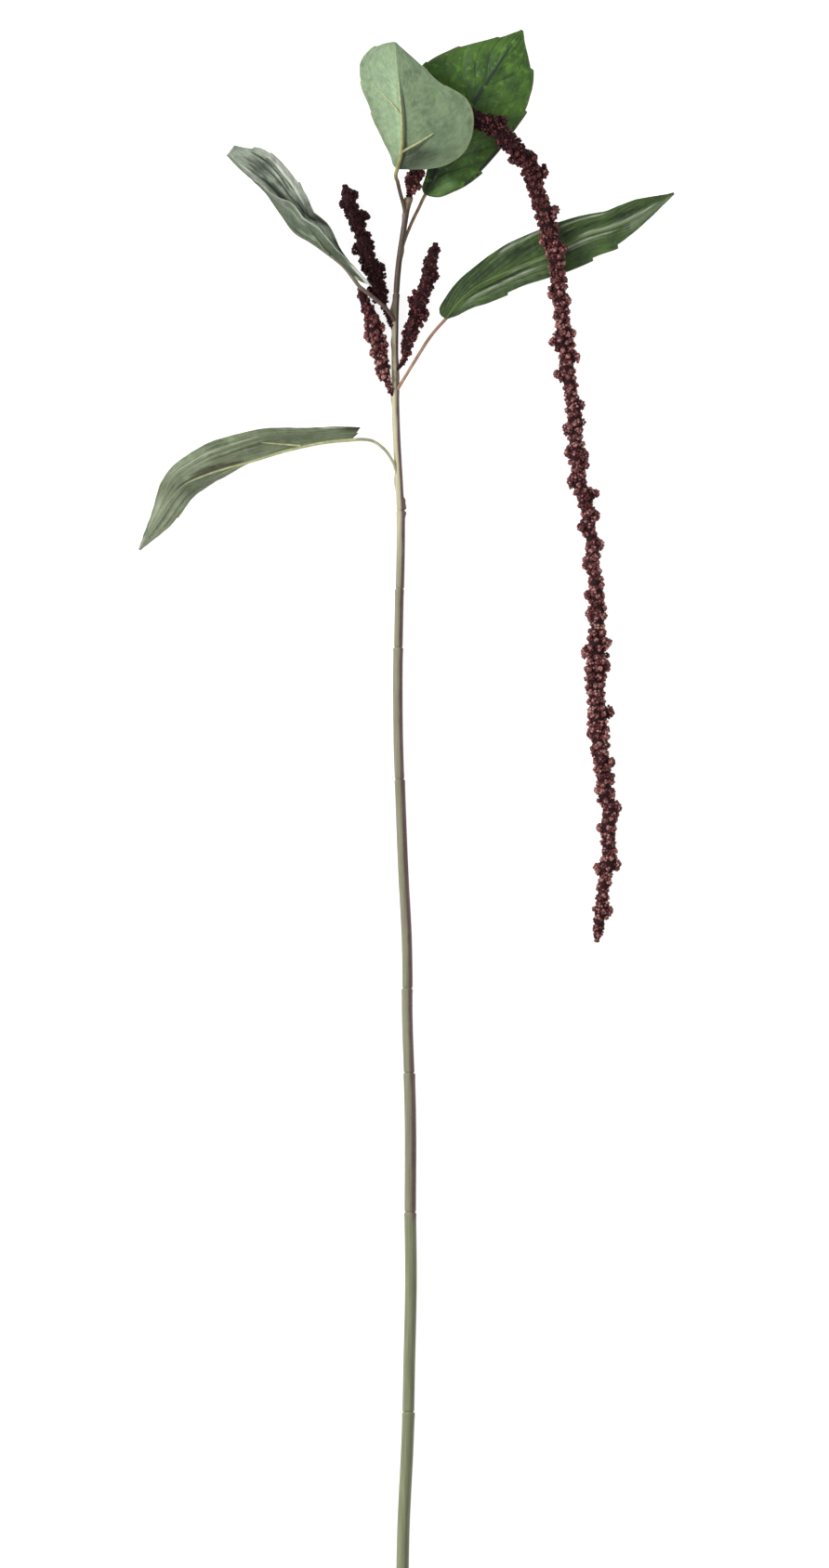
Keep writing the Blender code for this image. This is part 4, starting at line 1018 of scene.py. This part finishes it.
def rolled(shape, rows, sides, place):
    """Adds a closed tube: a grid rolled up by place(row, angle, vert), with its ends filled."""
    made = bmesh.ops.create_grid(shape, x_segments=rows, y_segments=sides, size=1.0)["verts"]
    for vert in made:
        row = round((vert.co.x + 1) / 2 * rows)
        vert.co = place(row, (vert.co.y + 1) / 2 * math.tau, vert) * MM
    bmesh.ops.remove_doubles(shape, verts=made, dist=MERGE_MM * MM)
    kept = [vert for vert in made if vert.is_valid]
    rims = [e for e in {e for v in kept for e in v.link_edges} if e.is_boundary]
    bmesh.ops.holes_fill(shape, edges=rims)
    faces = list({face for vert in kept for face in vert.link_faces})
    bmesh.ops.recalc_face_normals(shape, faces=faces)


def tube(shape, points, radii, sides, mark):
    """Adds a tube along these points, with its own radius at each; mark fills in its layers."""
    last = len(points) - 1
    frames = []
    for i in range(last + 1):
        frames.append(cross_frame((points[min(i + 1, last)] - points[max(i - 1, 0)]).normalized()))

    def place(row, angle, vert):
        mark(vert, row / last)
        return points[row] + radii[row] * turned(angle, *frames[row])

    rolled(shape, last, sides, place)


# Stem


def stem_stations():
    """The y of each ring of the stem: close together at the joints."""
    stations = []
    starts = [start for start, _ in STEM_LENGTHS]
    for start, end in zip(starts, [*starts[1:], STEM_TOP - CUP_RINGS[0][0]]):
        inner = (start + JOINT_STEPS[-1], end - JOINT_STEPS[-1])
        steps = max(1, round((inner[1] - inner[0]) / STEM_STEP))
        stations += [start + step for step in JOINT_STEPS[:-1]]
        stations += [inner[0] + (inner[1] - inner[0]) * i / steps for i in range(steps + 1)]
        stations += [end - step for step in reversed(JOINT_STEPS[:-1])]
    return stations


def moulded_share(y):
    """Share of its full radius that a moulded length has here: it is rounded at both ends."""
    start, end, _ = moulded_length(y)
    off = min(y - start, end - y) if end < STEM_TOP else y - start
    tuck = max(0.0, 1 - off / JOINT_ROUNDING)
    share = JOINT_SHARE + (1 - JOINT_SHARE) * math.sqrt(1 - tuck * tuck)
    if start == STEM_LENGTHS[0][0] and y - start < JOINT_ROUNDING:
        share = max(share, CUT_SHARE)
    collar = COLLAR_GAIN * math.exp(-(((end - y) / COLLAR_LENGTH) ** 2)) if end < STEM_TOP else 0.0
    return share + collar


def knob_share(y, degrees):
    """(height, brownness) that the stem's knobs and sheaths add here."""
    height = brown = 0.0
    for place, angle, rise, length, arc, tone in STEM_KNOBS:
        aside = ((y - place) / length) ** 2
        if aside < KNOB_EDGE:
            turn = math.remainder(degrees - angle, 360) / arc
            share = math.exp(-(aside + turn**2))
            height = max(height, rise * share)
            brown = max(brown, tone * min(1.0, KNOB_BROWNING * share))
    return height, brown


def make_stem(settings):
    shape = bmesh.new()
    side_layer, knob_layer, joint_layer = float_layers(shape, "side", "knob", "joint")
    stations = stem_stations()
    cup = [STEM_TOP - below for below, _ in CUP_RINGS]
    radii = {y: radius for y, (_, radius) in zip(cup, CUP_RINGS)}
    stations += cup
    rng = random.Random(HEAD_SEED)
    shifts = {start: rng.uniform(-LENGTH_SHIFT, LENGTH_SHIFT) for start, _ in STEM_LENGTHS}

    def place(row, angle, vert):
        y = stations[row]
        start, _, radius = moulded_length(y)
        share = 1.0 if y in radii else moulded_share(y)
        radius = radii.get(y, radius * share)
        height, brown = knob_share(y, math.degrees(angle))
        facets = 1 + FACET_DEPTH * math.cos(FACETS * angle + start)
        out = radius * facets + height
        axis = stem_axis(y)
        if y < RISE_FROM:
            axis.x += shifts[start] * math.sin((y - start) / SWAY_LENGTH)
        spot = axis + out * Vector((math.cos(angle), 0.0, math.sin(angle)))
        spot.z = max(spot.z, 0.0)
        vert[side_layer] = math.cos(angle)
        vert[knob_layer] = brown
        vert[joint_layer] = 1.0 - min(1.0, share)
        return spot

    rolled(shape, len(stations) - 1, STEM_SIDES, place)
    return new_piece("moulded_stem", shape, "stem", "stem", stem_material(settings))


def stem_material(settings):
    finish = Finish("stem plastic", 0.5)
    place = finish.place()
    y = finish.part(place, "Y")
    side = finish.attribute("side")
    stretched = finish.node(
        "ShaderNodeMapping", {}, {"Vector": place, "Scale": (900.0, 30.0, 900.0)}
    )
    streaks = finish.noise(stretched, scale=1.0, detail=3.0)
    blotches = finish.noise(place, scale=90.0, detail=3.0)
    # The right side, away from the key light, is painted darker: partly the stem's own mauve-brown and
    # partly painted shade
    wander = side + 0.5 * (blotches - 0.5) + 0.35 * (streaks - 0.5)
    shaded = finish.ramp(wander, 0.0, 0.55)
    olive = finish.ramp(y, -0.275, -0.262, 1.0, 0.0)
    cream = finish.ramp(y, 0.13, 0.2)
    brown = finish.ramp(y, 0.285, 0.335)
    pale = finish.mix(cream, tuple(settings.lit), tuple(settings.cream))
    dark = tuple(settings.dark)
    base = finish.mix(shaded, pale, dark)
    # Darker copies of the olive and the brown are painted shade on the stem's side away from the light
    olive_and_painted_shade = tuple(settings.olive), scaled(settings.olive, 0.62)
    base = finish.mix(olive, base, finish.mix(0.75 * shaded, *olive_and_painted_shade))
    brown_and_painted_shade = tuple(settings.brown), scaled(settings.brown, 0.55)
    base = finish.mix(brown, base, finish.mix(shaded, *brown_and_painted_shade))
    base = finish.mix(finish.attribute("knob"), base, tuple(settings.sheath))
    tone = finish.ramp(streaks, 0.3, 0.7, 0.82, 1.14)
    base = finish.toned(base, tone)
    groove = finish.ramp(finish.attribute("joint"), 0.08, 0.24)
    finish.paint(finish.mix(0.55 * groove, base, tuple(settings.cream)))
    finish.gloss(finish.ramp(blotches, 0.3, 0.7, 0.42, 0.6))
    finish.bump(streaks + 0.6 * blotches, 0.0004)
    return finish.material


# Leaves


def make_blade(leaf, settings):
    """The blade: a fine grid laid onto the leaf's surface with its veins, then thickened."""
    shape = bmesh.new()
    share_layer, side_layer, _, relief_layer, painted_light_and_shade_layer = float_layers(
        shape, "share", "side", "under", "relief", "tint"
    )
    vein_depth, wrinkle = settings.vein_depth / MM, settings.wrinkle / MM
    thickness = settings.thickness
    bmesh.ops.create_grid(
        shape, x_segments=BLADE_STATIONS, y_segments=2 * BLADE_COLUMNS, size=1.0
    )
    for vert in shape.verts:
        share, side = (vert.co.x + 1) / 2, vert.co.y
        height = leaf.relief(share, side, vein_depth, wrinkle)
        place = leaf.point(share, side) - height * leaf.underside(share, side)
        place.z = max(place.z, LEAST_LIFT * thickness / MM)
        vert.co = place * MM
        vert[share_layer] = share
        vert[side_layer] = side
        vert[relief_layer] = height
        vert[painted_light_and_shade_layer] = leaf.tint(share, side)
    thicken(shape, thickness)
    mark_under(shape, leaf)
    for vert in shape.verts:
        vert.co.z = max(vert.co.z, 0.0)
    return new_piece(
        "blade_" + leaf.name, shape, "leaf_blade_" + leaf.name, leaf.slot, blade_material(leaf)
    )


def thicken(shape, thickness):
    """Gives the sheet its thickness, half of it on each side."""
    mesh = bpy.data.meshes.new("sheet")
    shape.to_mesh(mesh)
    sheet = bpy.data.objects.new("sheet", mesh)
    bpy.context.scene.collection.objects.link(sheet)
    shell = sheet.modifiers.new("thickness", "SOLIDIFY")
    shell.thickness = thickness
    shell.offset = 0.0
    bpy.context.view_layer.update()
    graph = bpy.context.evaluated_depsgraph_get()
    thick = bpy.data.meshes.new_from_object(sheet.evaluated_get(graph), depsgraph=graph)
    shape.clear()
    shape.from_mesh(thick)
    bpy.data.objects.remove(sheet)
    bpy.data.meshes.remove(mesh)
    bpy.data.meshes.remove(thick)


def mark_under(shape, leaf):
    """Marks the shell that is the leaf's underside: the first half of the points, or the rest."""
    share_layer, side_layer, under_layer = (
        shape.verts.layers.float[name] for name in ("share", "side", "under")
    )
    verts = list(shape.verts)
    count = len(verts) // 2
    middle = min(
        range(count),
        key=lambda i: abs(verts[i][share_layer] - 0.5) + abs(verts[i][side_layer] - 0.5),
    )
    first, second = verts[middle], verts[middle + count]
    out = leaf.underside(first[share_layer], first[side_layer])
    under = verts[:count] if (first.co - second.co).dot(out) > 0 else verts[count:]
    for vert in under:
        vert[under_layer] = 1.0


def blade_material(leaf):
    look = leaf.look
    finish = Finish("leaf fabric " + leaf.name, 0.55)
    place = finish.place()
    share, side = finish.attribute("share"), finish.attribute("side")
    under, relief = finish.attribute("under"), finish.attribute("relief")
    out = abs(side)
    patches = finish.noise(place, scale=85.0, detail=3.0, roughness=0.6)
    grain = finish.noise(place, scale=900.0)
    along = share - look.lean * out
    marks_along, marks_across = look.grain
    marks = finish.vector(along * marks_along, out * marks_across, 3.0 * side)
    fibres = finish.noise(marks, scale=1.0, detail=4.0)
    tone = look.mottle * (patches - 0.5) * 1.6 + look.streaky * (fibres - 0.5)
    tone = tone + 0.3 * (grain - 0.5)
    tone = finish.ramp(tone + 0.5, 0.1, 0.9)
    face = finish.mix(tone, *look.face)
    back = finish.mix(tone, *look.back)
    colour = finish.mix(under, face, back)
    vein = along * look.veins + 0.5 * finish.ramp(side, -0.01, 0.0, 1.0, 0.0)
    beside = finish.node("ShaderNodeMath", {"operation": "PINGPONG"}, {0: vein, 1: 0.5})
    line = finish.ramp(beside, 0.02, 0.11, 1.0, 0.0) * finish.ramp(out, 0.02, 0.1)
    line = line * finish.ramp(out, 0.75, 1.0, 1.0, 0.2)
    midrib = finish.ramp(out, 0.015, 0.05, 1.0, 0.0)
    colour = finish.mix(look.vein_tint * line, colour, look.vein)
    # The strokes paint light and shade: highlights along folds, and shadows beside the midrib and in
    # creases
    tint = finish.attribute("tint") * (0.45 + 1.1 * fibres)
    colour = finish.mix(finish.ramp(tint, 0.0, 1.0), colour, look.pale)
    colour = finish.mix(finish.ramp(tint, -0.9, 0.0, 1.0, 0.0), colour, look.shade)
    colour = finish.mix(0.6 * midrib, colour, look.vein)
    if look.spots:
        spots = finish.noise(place, scale=210.0, detail=1.0)
        pale = scaled(look.face[1], 1.7)
        colour = finish.mix(0.6 * finish.ramp(spots, 0.56, 0.72), colour, pale)
    # Painted light on the ridges of the relief, and painted shade in its valleys
    ridge_highlight = finish.ramp(relief, 0.15, 0.8)
    valley_shade = finish.ramp(relief, -0.9, -0.25, 1.0, 0.0)
    colour = finish.mix(0.35 * ridge_highlight, colour, scaled(look.face[1], 1.5))
    colour = finish.mix(0.75 * valley_shade, colour, scaled(look.face[0], 0.4))
    edge = finish.ramp(out + 0.03 * (patches - 0.5), 0.955, 0.99)
    finish.paint(finish.mix(0.7 * edge, colour, look.rim))
    finish.gloss(finish.ramp(patches, 0.3, 0.7, 0.46, 0.64))
    finish.bump(0.7 * grain + 1.4 * fibres - 4.0 * look.vein_tint * line, 0.00035)
    finish.shader.inputs["Sheen Weight"].default_value = 0.12
    return finish.material


# Stalks


def rib_radius(leaf, share):
    """The rib thins from the stalk to its end."""
    return leaf.stalk_radius * (1 - RIB_THINNING * share / RIB_SPAN)


def rib_point(leaf, share, side, radius, blades):
    """A point on a rib's axis, a little sunk into the blade's underside."""
    height = leaf.relief(share, side, blades.vein_depth / MM, blades.wrinkle / MM)
    away = blades.thickness / MM / 2 + radius - RIB_SINK - height
    return leaf.point(share, side) + leaf.underside(share, side) * away


def tapered(radius, t):
    """The radius near a rib's rounded free end."""
    return radius * math.sqrt(max(LEAST_TAPER, 1 - smoothstep(*RIB_END, t)))


def make_stalk(leaf, settings, blades):
    shape = bmesh.new()
    (along_layer,) = float_layers(shape, "along")
    shares = [RIB_SPAN * i / RIB_STEPS for i in range(RIB_STEPS + 1)]
    radii = [tapered(rib_radius(leaf, s), s / RIB_SPAN) for s in shares]
    ribs = [rib_point(leaf, s, 0, radius, blades) for s, radius in zip(shares, radii)]
    approach = ribs[0] - leaf.midrib.heading(0) * STALK_APPROACH
    bare = Route([*leaf.root[1:], approach, ribs[0]])
    first = Route([leaf.root[0], *bare.evenly(ROOT_KNOTS)])
    points = first.evenly(STALK_STEPS)
    sizes = []
    for i in range(STALK_STEPS + 1):
        off = first.length * i / STALK_STEPS / STALK_FLARE_LENGTH
        sizes.append(leaf.stalk_radius * (1 + settings.flare * math.exp(-(off * off))))
    bare_count = len(points)
    points += ribs[1:]
    sizes += radii[1:]

    def mark_stalk(vert, t):
        row = t * (len(points) - 1)
        bare_share = min(1.0, row / bare_count)
        vert[along_layer] = bare_share + max(0.0, row - bare_count) / RIB_STEPS

    def mark_rib(vert, t):
        first_tone, last_tone = SIDE_RIB_COLOURS
        vert[along_layer] = first_tone + (last_tone - first_tone) * t

    tube(shape, points, sizes, STALK_SIDES, mark_stalk)
    for start, end, out in leaf.side_ribs:
        side_points, side_radii = [], []
        for i in range(SIDE_RIB_STEPS + 1):
            t = i / SIDE_RIB_STEPS
            radius = rib_radius(leaf, start) * (SIDE_RIB_START - SIDE_RIB_THINNING * t)
            radius = tapered(radius, t)
            share = start + (end - start) * t
            side_points.append(rib_point(leaf, share, out * t, radius, blades))
            side_radii.append(radius)
        tube(shape, side_points, side_radii, STALK_SIDES, mark_rib)
    return new_piece(
        "stalk_" + leaf.name, shape, "leaf_stalk_" + leaf.name, "stalk", stalk_material(leaf)
    )


def stalk_material(leaf):
    at_stem, at_blade, at_end = leaf.stalk_colours
    finish = Finish("stalk plastic " + leaf.name, 0.45)
    place = finish.place()
    along = finish.attribute("along")
    blotches = finish.noise(place, scale=260.0, detail=3.0)
    fine = finish.noise(place, scale=1500.0)
    colour = finish.mix(finish.ramp(along + 0.3 * (blotches - 0.5), 0.55, 1.05), at_stem, at_blade)
    colour = finish.mix(finish.ramp(along, 1.0, 2.0), colour, at_end)
    tone = finish.ramp(blotches, 0.3, 0.7, 0.78, 1.18)
    finish.paint(finish.toned(colour, tone))
    finish.gloss(finish.ramp(fine, 0.3, 0.7, 0.4, 0.55))
    finish.bump(fine + blotches, 0.00025)
    return finish.material


# Seed heads


def seed_mesh():
    """One seed bead, a little longer than wide."""
    shape = bmesh.new()
    bmesh.ops.create_icosphere(
        shape, subdivisions=1, radius=0.5, matrix=Matrix.Diagonal((0.94, 0.94, 1.1, 1.0))
    )
    mesh = bpy.data.meshes.new("seed")
    shape.to_mesh(mesh)
    shape.free()
    return mesh


def clump_places(head, distance, angle, reach, radius, count, diameter, rng):
    """(centre, size, tone) of the seeds of one clump: a ball of seeds, open towards the axis."""
    out = reach - radius - diameter / 2
    clump_tone = rng.random()
    for k in range(count):
        rise = 1 - 2 * CLUMP_WRAP * (k + 0.5) / count
        swing = k * SEED_TURN + distance
        ring = radius * math.sqrt(1 - rise * rise)
        far = max(out + radius * rise, CLUMP_LEAST_OUT)
        size = diameter * rng.uniform(*SEED_SIZES)
        turn = angle + ring * math.sin(swing) / far
        # The outer seeds of a clump get painted light, and the inner ones painted shade
        tone = CLUMP_TONE * clump_tone + CHANCE_TONE * rng.random() + OUTER_LIGHT_TONE * rise
        yield head.point(distance + ring * math.cos(swing), turn, far, size / 2), size, tone


def fill_places(head, diameter, rng):
    """(centre, size, tone) of the seeds between and under the clumps, darkened with painted shade."""
    for distance, angle in wound(head, FILL_PITCH, rng):
        out = max(FILL_SHARE * head.reach(distance, angle) - diameter / 2, FILL_LEAST_OUT)
        yield head.point(distance, angle, out, diameter / 2), diameter, FILL_SHADE_TONE


def wound(head, pitch, rng):
    """(distance, angle) of places this far apart all over a head."""
    count = round(head.route.length / pitch)
    for i in range(count + 1):
        distance = head.route.length * i / count
        mean = BETWEEN_CLUSTERS * keyed(head.reaches, distance / head.route.length)
        turns = max(LEAST_TURNS, round(math.tau * mean / pitch))
        for j in range(turns):
            # Every other ring is turned by half a seed
            turn = j + 0.5 * (i % 2) + rng.uniform(-SEED_SHIFT, SEED_SHIFT)
            shift = rng.uniform(-SEED_SHIFT, SEED_SHIFT) * pitch
            yield distance + shift, math.tau * turn / turns


def foot_places(head, diameter, rng):
    """(centre, size, tone) of the seeds that cover the head's foot."""
    path = Route([*head.root[1:], head.route.at(0)])
    rings = max(2, round(path.length / (FOOT_PITCH * diameter)))
    for i in range(rings + 1):
        along = path.heading(i / rings)
        across, up = cross_frame(along)
        for j in range(FOOT_SEEDS):
            angle = math.tau * (j + 0.5 * (i % 2)) / FOOT_SEEDS
            out = FOOT_RADIUS + rng.uniform(*FOOT_OUT)
            way = turned(angle, across, up)
            size = diameter * rng.uniform(*FOOT_SIZES)
            yield path.at(i / rings) + out * way, size, rng.random()


def seed_places(head, diameter, rng):
    """(centre, size, tone) of every seed of a head."""
    yield from fill_places(head, diameter, rng)
    yield from foot_places(head, diameter, rng)
    for distance, angle in wound(head, CLUMP_PITCH, rng):
        reach = head.reach(distance, angle) * rng.uniform(*CLUMP_REACH)
        radius = rng.uniform(*CLUMP_RADII)
        yield from clump_places(
            head, distance, angle, reach, radius, CLUMP_SEEDS, diameter, rng
        )
    for distance, angle, reach in head.standouts:
        yield from clump_places(
            head, distance, angle, reach, STANDOUT_RADIUS, STANDOUT_SEEDS, diameter, rng
        )


def make_head(head, settings):
    rng = random.Random(HEAD_SEED)
    shape = bmesh.new()
    tone_layer, fibre_layer = float_layers(shape, "tone", "fibre")
    bead = seed_mesh()
    places = list(seed_places(head, settings.diameter / MM, rng))
    for _ in places:
        shape.from_mesh(bead)
    verts = list(shape.verts)
    count = len(bead.vertices)
    for i, (centre, size, tone) in enumerate(places):
        nearest = int(np.argmin(np.abs(head.route.table - np.array(centre)).sum(axis=1)))
        share = head.route.lengths[nearest] / head.route.length
        tone -= DARKENING * keyed(head.darkness, share)
        turn = Euler([rng.uniform(0, math.tau) for _ in range(3)]).to_matrix() * size
        for vert in verts[i * count:(i + 1) * count]:
            vert.co = (centre + turn @ vert.co) * MM
            vert[tone_layer] = tone
            vert.co.z = max(vert.co.z, 0.0)
    bpy.data.meshes.remove(bead)
    add_core(shape, head, tone_layer)
    add_fibres(shape, head, fibre_layer, rng)
    node = "seed_" + head.name
    return new_piece("seeds_" + head.name, shape, node, "seeds", seed_material(head, settings))


def add_core(shape, head, tone_layer):
    """The core that the seeds sit on, and the foot that goes into the stem, both in the dark tone of
    painted shade between the seeds.
    """
    rows = round(head.route.length / CORE_STEP)

    def place(row, angle, vert):
        distance = head.route.length * row / rows
        vert[tone_layer] = CORE_SHADE_TONE
        return head.point(distance, angle, CORE_SHARE * head.reach(distance, angle), CORE_CLEAR)

    rolled(shape, rows, CORE_SIDES, place)
    path = Route([*head.root, head.route.at(FOOT_SUNK / head.route.length)])
    points = path.evenly(ROOT_KNOTS)

    def mark_foot(vert, t):
        vert[tone_layer] = CORE_SHADE_TONE

    tube(shape, points, [FOOT_RADIUS] * len(points), STALK_SIDES, mark_foot)


def add_fibres(shape, head, fibre_layer, rng):
    """A few stray fibres that stand out between the seeds."""

    def mark_fibre(vert, t):
        vert[fibre_layer] = 1.0

    for _ in range(round(head.route.length / FIBRE_PITCH)):
        distance = rng.uniform(0, head.route.length)
        angle = rng.uniform(0, math.tau)
        reach = head.reach(distance, angle)
        length = rng.uniform(*FIBRE_LENGTHS)
        lean = rng.uniform(-FIBRE_LEAN, FIBRE_LEAN) * length
        swirl = rng.uniform(-FIBRE_SWIRL, FIBRE_SWIRL)
        points, radii = [], []
        for i in range(FIBRE_STEPS + 1):
            t = i / FIBRE_STEPS
            along, turn = distance + lean * t * t, angle + swirl * t * t
            points.append(head.point(along, turn, FIBRE_START * reach + length * t, FIBRE_CLEAR))
            radii.append(FIBRE_RADIUS * (1 - FIBRE_THINNING * t))
        tube(shape, points, radii, FIBRE_SIDES, mark_fibre)


def seed_material(head, settings):
    finish = Finish("seeds " + head.name, 0.5)
    place = finish.place()
    tone = finish.attribute("tone")
    blotches = finish.noise(place, scale=120.0)
    fine = finish.noise(place, scale=1400.0)
    # The tone holds painted shade on the core, the fill seeds and the inner seeds of each clump, and
    # painted light on the outer seeds; the rest is chance
    value = tone + 0.5 * (blotches - 0.5) + 0.3 * (fine - 0.5)
    dark, middle, light = (tuple(c) for c in (settings.dark, settings.middle, settings.light))
    colour = finish.mix(finish.ramp(value, -0.3, 0.4), dark, middle)
    colour = finish.mix(finish.ramp(value, 0.45, 1.0), colour, light)
    finish.paint(finish.mix(finish.attribute("fibre"), colour, tuple(settings.fibre)))
    finish.gloss(finish.ramp(fine, 0.3, 0.7, 0.5, 0.7))
    finish.bump(fine, 0.0003)
    finish.shader.inputs["Specular IOR Level"].default_value = 0.15
    return finish.material


# Stage


def make_floor(settings):
    mesh = bpy.data.meshes.new("floor")
    shape = bmesh.new()
    bmesh.ops.create_grid(shape, x_segments=1, y_segments=1, size=FLOOR_HALF)
    shape.to_mesh(mesh)
    shape.free()
    floor = bpy.data.objects.new("floor", mesh)
    bpy.context.scene.collection.objects.link(floor)
    finish = Finish("floor", 0.9)
    finish.shader.inputs["Base Color"].default_value = (*settings.floor, 1.0)
    finish.shader.inputs["Specular IOR Level"].default_value = 0.0
    finish.shader.inputs["Emission Color"].default_value = (1.0, 1.0, 1.0, 1.0)
    finish.shader.inputs["Emission Strength"].default_value = settings.glow
    mesh.materials.append(finish.material)


def make_light(settings):
    """The soft light at the left, and an even light all round."""
    lamp = bpy.data.lights.new("key light", "AREA")
    lamp.shape = "DISK"
    lamp.size = KEY_SIZE
    lamp.energy = settings.key
    light = bpy.data.objects.new("key light", lamp)
    light.location = KEY_PLACE
    aim = Vector(KEY_AIM) - Vector(KEY_PLACE)
    light.rotation_euler = aim.to_track_quat("-Z", "Y").to_euler()
    bpy.context.scene.collection.objects.link(light)
    world = bpy.data.worlds.new("even light")
    world.use_nodes = True
    background = world.node_tree.nodes["Background"]
    background.inputs["Color"].default_value = (1.0, 1.0, 1.0, 1.0)
    background.inputs["Strength"].default_value = settings.sky
    bpy.context.scene.world = world


def make_camera(settings):
    """The camera looks straight down, with no tone curve on its picture."""
    scene = bpy.context.scene
    lens = bpy.data.cameras.new("camera")
    lens.lens = settings.lens
    lens.sensor_width = 36.0
    lens.clip_end = 100.0
    camera = bpy.data.objects.new("camera", lens)
    camera.location = (*CAMERA_PLACE, settings.height)
    scene.collection.objects.link(camera)
    scene.camera = camera
    scene.view_settings.view_transform = "Standard"
    scene.view_settings.look = "None"


class SprayOperator:
    """What the operators of this file share."""

    bl_options = {"REGISTER", "UNDO"}


class AMARANTH_OT_stage(SprayOperator, bpy.types.Operator):
    """Set up the floor, the soft light and the camera"""

    bl_idname = "amaranth.stage"
    bl_label = "Stage"

    def execute(self, context):
        settings = context.scene.amaranth_stage
        make_floor(settings)
        make_light(settings)
        make_camera(settings)
        return {"FINISHED"}


class AMARANTH_OT_stem(SprayOperator, bpy.types.Operator):
    """Model the jointed stem"""

    bl_idname = "amaranth.stem"
    bl_label = "Stem"

    def execute(self, context):
        make_stem(context.scene.amaranth_stem)
        return {"FINISHED"}


class AMARANTH_OT_blades(SprayOperator, bpy.types.Operator):
    """Model the fabric blades of the leaves"""

    bl_idname = "amaranth.blades"
    bl_label = "Leaf blades"

    def execute(self, context):
        for leaf in LEAVES:
            make_blade(leaf, context.scene.amaranth_blades)
        return {"FINISHED"}


class AMARANTH_OT_stalks(SprayOperator, bpy.types.Operator):
    """Model the leaf stalks with their ribs"""

    bl_idname = "amaranth.stalks"
    bl_label = "Leaf stalks"

    def execute(self, context):
        for leaf in LEAVES:
            make_stalk(leaf, context.scene.amaranth_stalks, context.scene.amaranth_blades)
        return {"FINISHED"}


class AMARANTH_OT_seeds(SprayOperator, bpy.types.Operator):
    """Model the seed spikes and the tassel"""

    bl_idname = "amaranth.seeds"
    bl_label = "Seed heads"

    def execute(self, context):
        for head in HEADS:
            make_head(head, context.scene.amaranth_seeds)
        return {"FINISHED"}


class AMARANTH_PT_panel(bpy.types.Panel):
    """The sidebar's list of the spray's settings and pieces"""

    bl_idname = "AMARANTH_PT_panel"
    bl_label = "Amaranth spray"
    bl_space_type = "VIEW_3D"
    bl_region_type = "UI"
    bl_category = "Amaranth"

    def draw(self, context):
        for operator, group, _ in STEPS:
            box = self.layout.box()
            settings = getattr(context.scene, group)
            for name in settings.__annotations__:
                box.prop(settings, name)
            box.operator(operator.bl_idname)


# Each operator, the scene's name for its settings, and their class
STEPS = (
    (AMARANTH_OT_stage, "amaranth_stage", StageSettings),
    (AMARANTH_OT_stem, "amaranth_stem", StemSettings),
    (AMARANTH_OT_blades, "amaranth_blades", BladeSettings),
    (AMARANTH_OT_stalks, "amaranth_stalks", StalkSettings),
    (AMARANTH_OT_seeds, "amaranth_seeds", SeedSettings),
)


def register():
    for operator, name, group in STEPS:
        bpy.utils.register_class(group)
        setattr(bpy.types.Scene, name, bpy.props.PointerProperty(type=group))
        bpy.utils.register_class(operator)
    bpy.utils.register_class(AMARANTH_PT_panel)


def unregister():
    bpy.utils.unregister_class(AMARANTH_PT_panel)
    for operator, name, group in reversed(STEPS):
        bpy.utils.unregister_class(operator)
        delattr(bpy.types.Scene, name)
        bpy.utils.unregister_class(group)


def main():
    register()
    bpy.ops.amaranth.stage()
    bpy.ops.amaranth.stem()
    bpy.ops.amaranth.blades()
    bpy.ops.amaranth.stalks()
    bpy.ops.amaranth.seeds()


if __name__ == "__main__":
    main()
